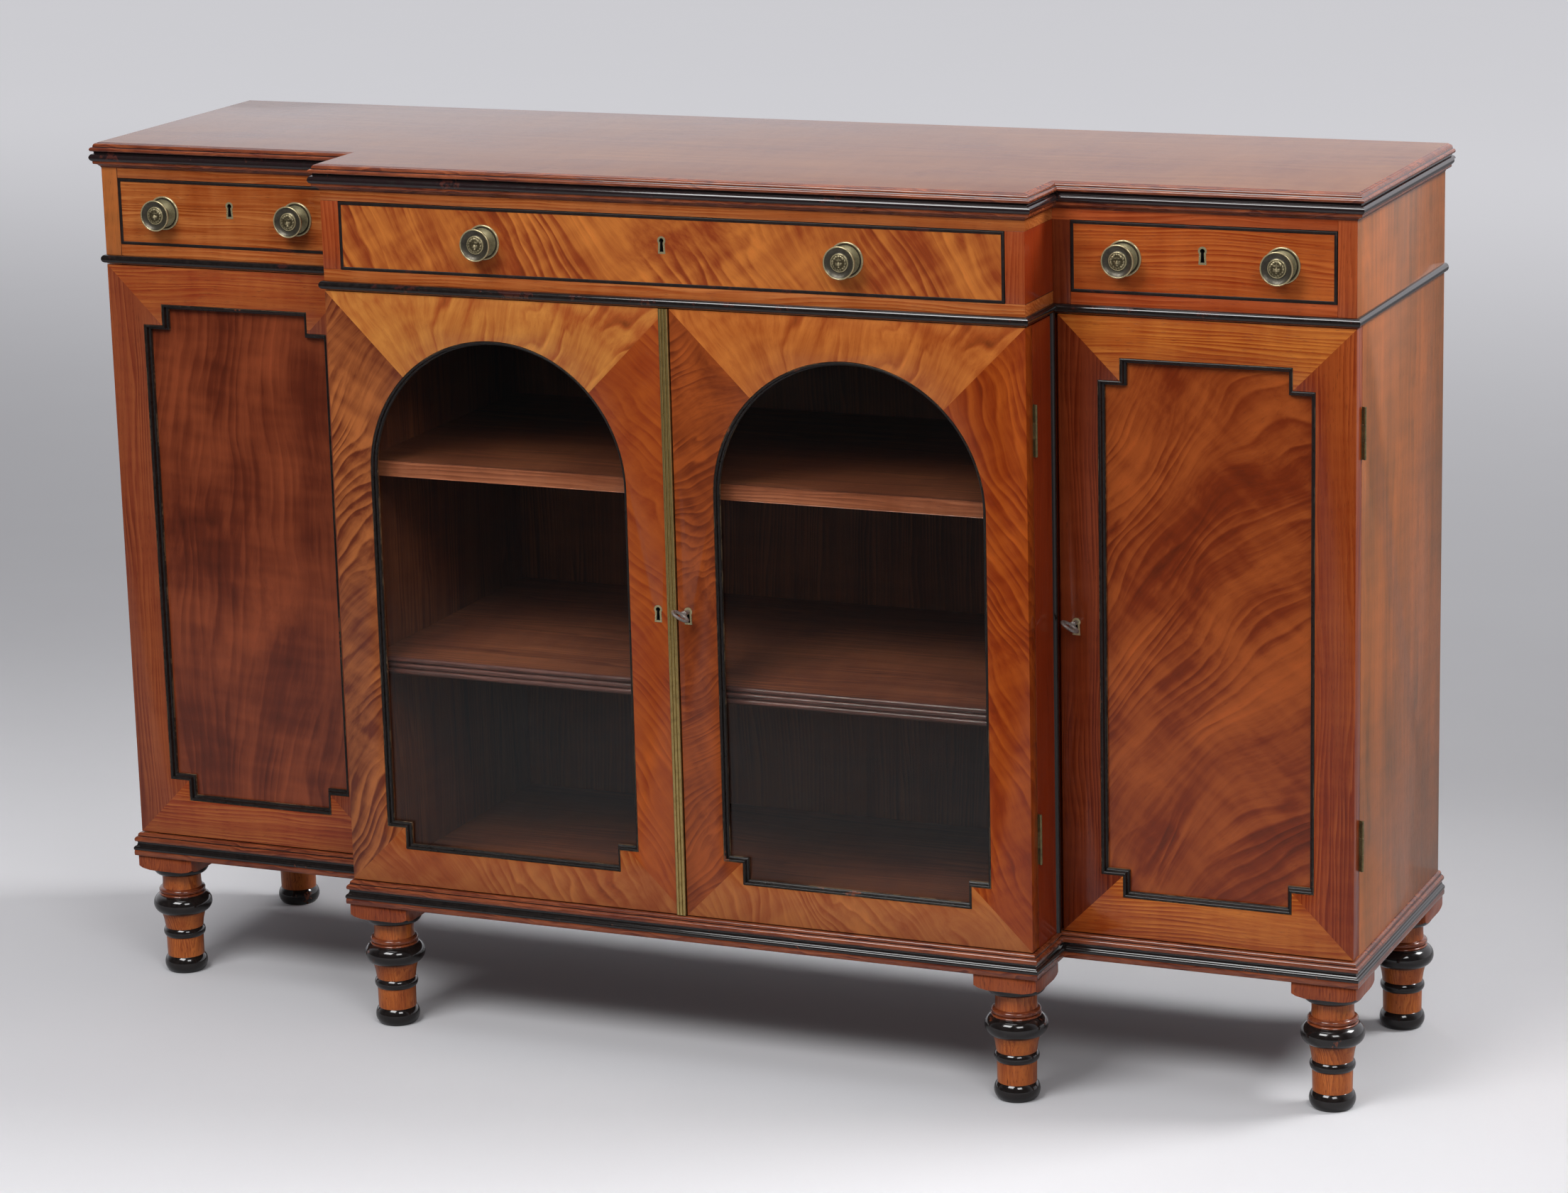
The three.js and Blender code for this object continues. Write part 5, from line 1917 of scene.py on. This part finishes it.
@dataclass(frozen=True)
class Door:
    """A framed door: mitred members, a black moulding round its opening, and what fills it."""

    name: str
    finishes: DoorFinishes
    notch: Flat
    moulding_wide: float
    filler_thick: float
    thick: float = 0.019
    fit: float = 0.0003
    moulding_deep: float = 0.0085
    key_z: float = 0.483
    key_inset: float = 0.0165
    easing: float = 0.0005

    @property
    def arched(self) -> bool:
        """Says whether the opening has a round head."""
        return self.name.startswith("arch")

    @property
    def side(self) -> int:
        """Gives -1 for a left door and 1 for a right one."""
        return 1 if self.name.endswith("right") else -1

    @property
    def body(self) -> str:
        """Names the door's body."""
        return f"{self.name}_door"

    def opening(self) -> Opening:
        """Reads the opening from the moulding that lines it in the frame.

        Returns:
            The opening.
        """
        low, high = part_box(f"moulding_{self.name}")
        half = (high.x - low.x) / 2 + self.fit
        return Opening((low.x + high.x) / 2, half, low.z - self.fit, high.z + self.fit, *self.notch,
                       self.arched)

    def key_x(self, low: Vector, high: Vector) -> float:
        """Gives the keyhole's place across the door.

        Args:
            low: The door's lowest corner.
            high: Its highest corner.

        Returns:
            The place along X.
        """
        if self.arched:
            return self.side * self.key_inset
        return low.x + self.key_inset if self.side > 0 else high.x - self.key_inset

    def build(self) -> None:
        """Builds the frame, moulding, filler, keyhole, lock and hinge leaves."""
        low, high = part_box(f"door_{self.name}")
        opening = self.opening()
        face = high.y - self.thick
        hole = Keyhole(f"door_{self.name}_escutcheon", self.key_x(low, high), self.key_z, face,
                       Place(self.body, "brass"))
        self.frame(low, high, opening, hole)
        hole.build()
        self.moulding(opening, face)
        self.filler(opening, face + self.moulding_deep)
        DoorLock(f"door_{self.name}_lock", self.body, hole.x, high.y, self.key_z).build()
        for level in ("lower", "upper"):
            HingeLeaf(self.name, level, "door", self.body).build()
            HingeLeaf(self.name, level, "fixed", "case").build()

    def frame(self, low: Vector, high: Vector, opening: Opening, hole: Keyhole) -> None:
        """Makes the frame and veneers each member along its own grain, parted at the mitres.

        Args:
            low: The door's lowest corner.
            high: Its highest corner.
            opening: The opening in it.
            hole: Its keyhole.
        """
        form = plate(rectangle((low.x, low.z), (high.x, high.z)),
                     [opening.outline(), hole.outline(hole.rim)], high.y - self.thick)
        for x, z, slope in ((low.x, low.z, 1), (high.x, low.z, -1), (low.x, high.z, -1), (high.x, high.z, 1)):
            cut_at(form, (x, 0, z), (1, 0, -slope))
        for part in form.faces:
            part.material_index = self.member(part.calc_center_median(), low, high)
        bmesh.ops.dissolve_limit(form, angle_limit=FLAT, verts=form.verts, edges=form.edges,
                                 delimit={"MATERIAL"})
        thicken(form, high.y)
        ease(form, self.easing)
        finishes = self.finishes
        finish_piece(form, f"door_{self.name}_frame", [
            finishes.left, finishes.right, finishes.foot, finishes.head,
        ], Place(self.body, "mahogany", (f"door_{self.name}",)))

    @staticmethod
    def member(place: Vector, low: Vector, high: Vector) -> int:
        """Says which member a place on the frame belongs to: left, right, foot or head."""
        gaps = [place.x - low.x, high.x - place.x, place.z - low.z, high.z - place.z]
        return gaps.index(min(gaps))

    def moulding(self, opening: Opening, face: float) -> None:
        """Sweeps the black moulding round the opening.

        Args:
            opening: The opening.
            face: Where the door's face stands along Y.
        """
        wide, deep, fit = self.moulding_wide, self.moulding_deep, self.fit
        section = Section.of((fit, -deep), (
            (fit, -0.0001), (fit + 0.0004, -0.0002, 0.0, 1), (wide * 0.22, 0.0001),
            (wide * 0.58, -deep * 0.22, 0.5), (wide * 0.60, -deep * 0.30), (wide * 0.86, -deep * 0.56, -0.3),
            (wide * 0.90, -deep * 0.56), (wide, -deep * 0.66, 0.4), (wide, -deep, 0.0, 1), (fit, -deep)))
        form = bmesh.new()
        sweep(form, section, opening.stations(face), closed=True)
        finish_piece(form, f"moulding_{self.name}_swept", [Palette.framing, Palette.old_wax],
                     Place(self.body, "ebonised_wood", (f"moulding_{self.name}",)))

    def filler(self, opening: Opening, front: float) -> None:
        """Makes the panel or the pane behind the moulding.

        Args:
            opening: The opening that it fills.
            front: Where its front stands along Y.
        """
        form = plate(opening.outline(self.fit), [], front)
        bmesh.ops.dissolve_limit(form, angle_limit=FLAT, verts=form.verts, edges=form.edges)
        thicken(form, front + self.filler_thick)
        if self.arched:
            piece = finish_piece(form, f"glass_{self.name}_pane", [self.finishes.filler],
                                 Place(self.body, "glass", (f"glass_{self.name}",)))
            piece.visible_shadow = False
        else:
            finish_piece(form, f"panel_{self.name}_veneered", [self.finishes.filler],
                         Place(self.body, "flame_panel", (f"panel_{self.name}",)))


def cupboard_doors() -> list[Door]:
    """Gives the two panelled wing doors and the two glazed arched doors.

    Returns:
        The four doors, from the wings to the centre.
    """
    wing_left = DoorFinishes(Palette.left_stile, Palette.left_stile, Palette.left_rail, Palette.left_rail,
                             Palette.left_panel)
    # The right wing door's left stile is painted with the shade that the centre's step casts on it.
    wing_right = DoorFinishes(Palette.shade_painted_stile, Palette.stile, Palette.wing_rail, Palette.wing_rail,
                              Palette.right_panel)
    arch_left = DoorFinishes(Palette.rising, Palette.falling, Palette.head_left, Palette.foot, Palette.glass)
    arch_right = DoorFinishes(Palette.meeting, Palette.hanging, Palette.head_right, Palette.foot,
                              Palette.glass)
    panelled = {"notch": (0.0225, 0.0225), "moulding_wide": 0.0053, "filler_thick": 0.006}
    glazed = {"notch": (0.0208, 0.0230), "moulding_wide": 0.0045, "filler_thick": 0.0025}
    return [Door("wing_left", wing_left, **panelled), Door("wing_right", wing_right, **panelled),
            Door("arch_left", arch_left, **glazed), Door("arch_right", arch_right, **glazed)]


@dataclass(frozen=True)
class MeetingStrip:
    """The reeded brass strip on the left arched door's meeting edge."""

    reeds: int = 3
    reed_swell: float = 0.9
    clearance: float = 0.0001

    def build(self) -> None:
        """Extrudes the reeded section from foot to head."""
        low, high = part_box("meeting_strip")
        step = (high.x - low.x) / self.reeds
        flat = low.y + step / 2 + self.clearance
        members = [(low.x, -flat)]
        members += [(low.x + step * (i + 1), -flat, self.reed_swell) for i in range(self.reeds)]
        members += [(high.x, -high.y), (low.x, -high.y)]
        section = Section.of((low.x, -high.y), members)
        stations = [Station(Z_AXIS * z, X_AXIS, -Y_AXIS) for z in (low.z, high.z)]
        form = bmesh.new()
        sweep(form, section, stations)
        fill_ends(form)
        finish_piece(form, "meeting_strip_reeded", [Palette.strip_brass],
                     Place("arch_left_door", "brass", ("meeting_strip",)))


# The studio


@dataclass(frozen=True)
class SoftBox:
    """A large soft lamp."""

    name: str
    place: Triple
    target: Triple
    width: float
    height: float
    watts: float
    spread: float = 180.0

    def build(self) -> None:
        """Hangs the lamp and points it."""
        lamp = bpy.data.lights.new(self.name, "AREA")
        lamp.shape = "RECTANGLE"
        lamp.size, lamp.size_y = self.width, self.height
        lamp.energy = self.watts
        lamp.spread = math.radians(self.spread)
        hung = bpy.data.objects.new(self.name, lamp)
        hung.location = self.place
        aim = Vector(self.target) - Vector(self.place)
        hung.rotation_euler = aim.to_track_quat("-Z", "Y").to_euler()
        bpy.context.scene.collection.objects.link(hung)


@dataclass(frozen=True)
class Studio:
    """The camera, the pale floor and the soft light."""

    camera_place: Triple = (1.85942, -4.19266, 1.60312)
    camera_target: Triple = (0.01963, 0.0497, 0.4425)
    camera_roll: float = -0.025708
    focal_pixels: float = 6410.5
    picture_width: float = 2209.0
    sensor: float = 36.0
    floor_radius: float = 16.0
    floor_colour: str = "#dddde0"
    floor_marks: str = "#c6c5c9"
    mark_size: float = 0.25
    near_floor_colour: str = "#a6a6a9"
    far_floor_colour: str = "#4a4a4c"
    paper_edge: float = -1.15
    paper_fade: float = 0.9
    backdrop_colour: str = "#cdccd1"
    room_light: float = 0.32
    front_gloss: float = 0.08
    back_gloss: float = 1.15
    gloss_reach: Flat = (-0.35, 0.45)
    glow_colour: str = "#fbfbff"
    back_glow: float = 0.45
    back_reach: Flat = (1.0, 6.0)
    side_glow: float = 0.40
    side_reach: Flat = (1.2, 4.0)

    def build(self) -> None:
        """Sets up the whole studio."""
        self.camera()
        self.floor()
        self.room()
        for box in (
            SoftBox("key_softbox", (-0.6, -2.5, 3.0), (0, 0, 0.5), 1.7, 1.2, 70),
            SoftBox("fill_softbox", (2.0, -2.5, 2.7), (0, 0, 0.5), 1.3, 1.0, 35),
            SoftBox("side_softbox", (2.6, 1.1, 2.9), (0.66, 0.05, 0.95), 1.2, 1.0, 9, 50),
            SoftBox("top_softbox", (0.2, -0.1, 4.4), (0, 0, 0), 3.4, 2.2, 44),
        ):
            box.build()
        bpy.context.scene.view_settings.view_transform = "Standard"

    def camera(self) -> None:
        """Stands the camera where the photograph was taken."""
        data = bpy.data.cameras.new("camera")
        data.sensor_fit = "HORIZONTAL"
        data.sensor_width = self.sensor
        data.lens = self.focal_pixels / self.picture_width * self.sensor
        data.clip_end = 100.0
        camera = bpy.data.objects.new("camera", data)
        place = Vector(self.camera_place)
        aim = (Vector(self.camera_target) - place).to_track_quat("-Z", "Y").to_matrix().to_4x4()
        camera.matrix_world = Matrix.Translation(place) @ aim @ Matrix.Rotation(self.camera_roll, 4, "Z")
        bpy.context.scene.collection.objects.link(camera)
        bpy.context.scene.camera = camera

    def floor(self) -> None:
        """Lays the pale floor."""
        form = bmesh.new()
        bmesh.ops.create_circle(form, cap_ends=True, segments=96, radius=self.floor_radius)
        mesh = bpy.data.meshes.new("floor")
        form.to_mesh(mesh)
        form.free()
        floor = bpy.data.objects.new("floor", mesh)
        bpy.context.scene.collection.objects.link(floor)
        bench = PolishBench("studio_floor")
        where = bench.place()
        marks = bench.noise(where, [self.mark_size] * 3, 3.0, 0.5)
        pale = bench.mix(bench.math("MULTIPLY", marks, 0.2), linear(self.floor_colour),
                         linear(self.floor_marks))
        x, y, _ = bench.parts(where)
        near = bench.above(y, self.paper_edge - self.paper_fade, self.paper_edge)
        path = bench.add("ShaderNodeLightPath")
        seen = path.outputs["Is Camera Ray"]
        unseen = bench.mix(near, linear(self.far_floor_colour), linear(self.near_floor_colour))
        bench.shade(Base_Color=bench.mix(seen, unseen, pale), Roughness=0.8, Specular_IOR_Level=0.2)
        back = bench.math("MULTIPLY", bench.above(y, *self.back_reach), self.back_glow)
        side = bench.math("MULTIPLY", bench.above(x, *self.side_reach), self.side_glow)
        glow = bench.math("ADD", bench.math("MULTIPLY", back, seen),
                          bench.math("MULTIPLY", side, path.outputs["Is Glossy Ray"]))
        bench.shade(Emission_Color=linear(self.glow_colour), Emission_Strength=glow)
        mesh.materials.append(bench.material)

    def room(self) -> None:
        """Lights the room evenly, and shows a pale backdrop, which dims towards the photographer."""
        world = bpy.data.worlds.new("studio")
        bpy.context.scene.world = world
        world.use_nodes = True
        bench = NodeBench(world.node_tree)
        path = bench.add("ShaderNodeLightPath")
        behind = bench.parts(bench.add("ShaderNodeTexCoord").outputs["Generated"])[1]
        gloss = bench.scaled(bench.above(behind, *self.gloss_reach), self.back_gloss - self.front_gloss,
                             self.front_gloss)
        strength = bench.blend(path.outputs["Is Glossy Ray"], self.room_light, gloss)
        shown = bench.math("MAXIMUM", path.outputs["Is Camera Ray"], path.outputs["Is Transmission Ray"])
        background = bench.tree.nodes["Background"]
        bench.feed(background.inputs["Color"], linear(self.backdrop_colour))
        bench.feed(background.inputs["Strength"], bench.blend(shown, strength, 1.0))


def main() -> None:
    """Builds the cabinet's pieces in order, then the studio."""
    logging.basicConfig(level=logging.INFO, format="%(message)s")
    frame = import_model()
    plan = CasePlan.read()
    TopBoard(plan).build()
    CaseMouldings(plan).build()
    Carcass(plan, frame["nodes"]).build()
    Shelf("shelf_upper", 0, Palette.shelf_edge).build()
    Shelf("shelf_lower", 3, Palette.reeded_edge).build()
    for place in ("front_left", "centre_left", "centre_right", "front_right", "back_left", "back_right"):
        TurnedLeg(f"leg_{place}").build()
    for name, veneer in (("left", Palette.left_drawer), ("centre", Palette.centre_drawer),
                         ("right", Palette.wing_drawer)):
        Drawer(name, veneer).build()
    for door in cupboard_doors():
        door.build()
    MeetingStrip().build()
    CupboardKey("key_wing_right", "wing_key", plan.wing_front).build()
    CupboardKey("key_arch_right", "arch_key", plan.centre_front).build()
    Studio().build()


if __name__ == "__main__":
    main()
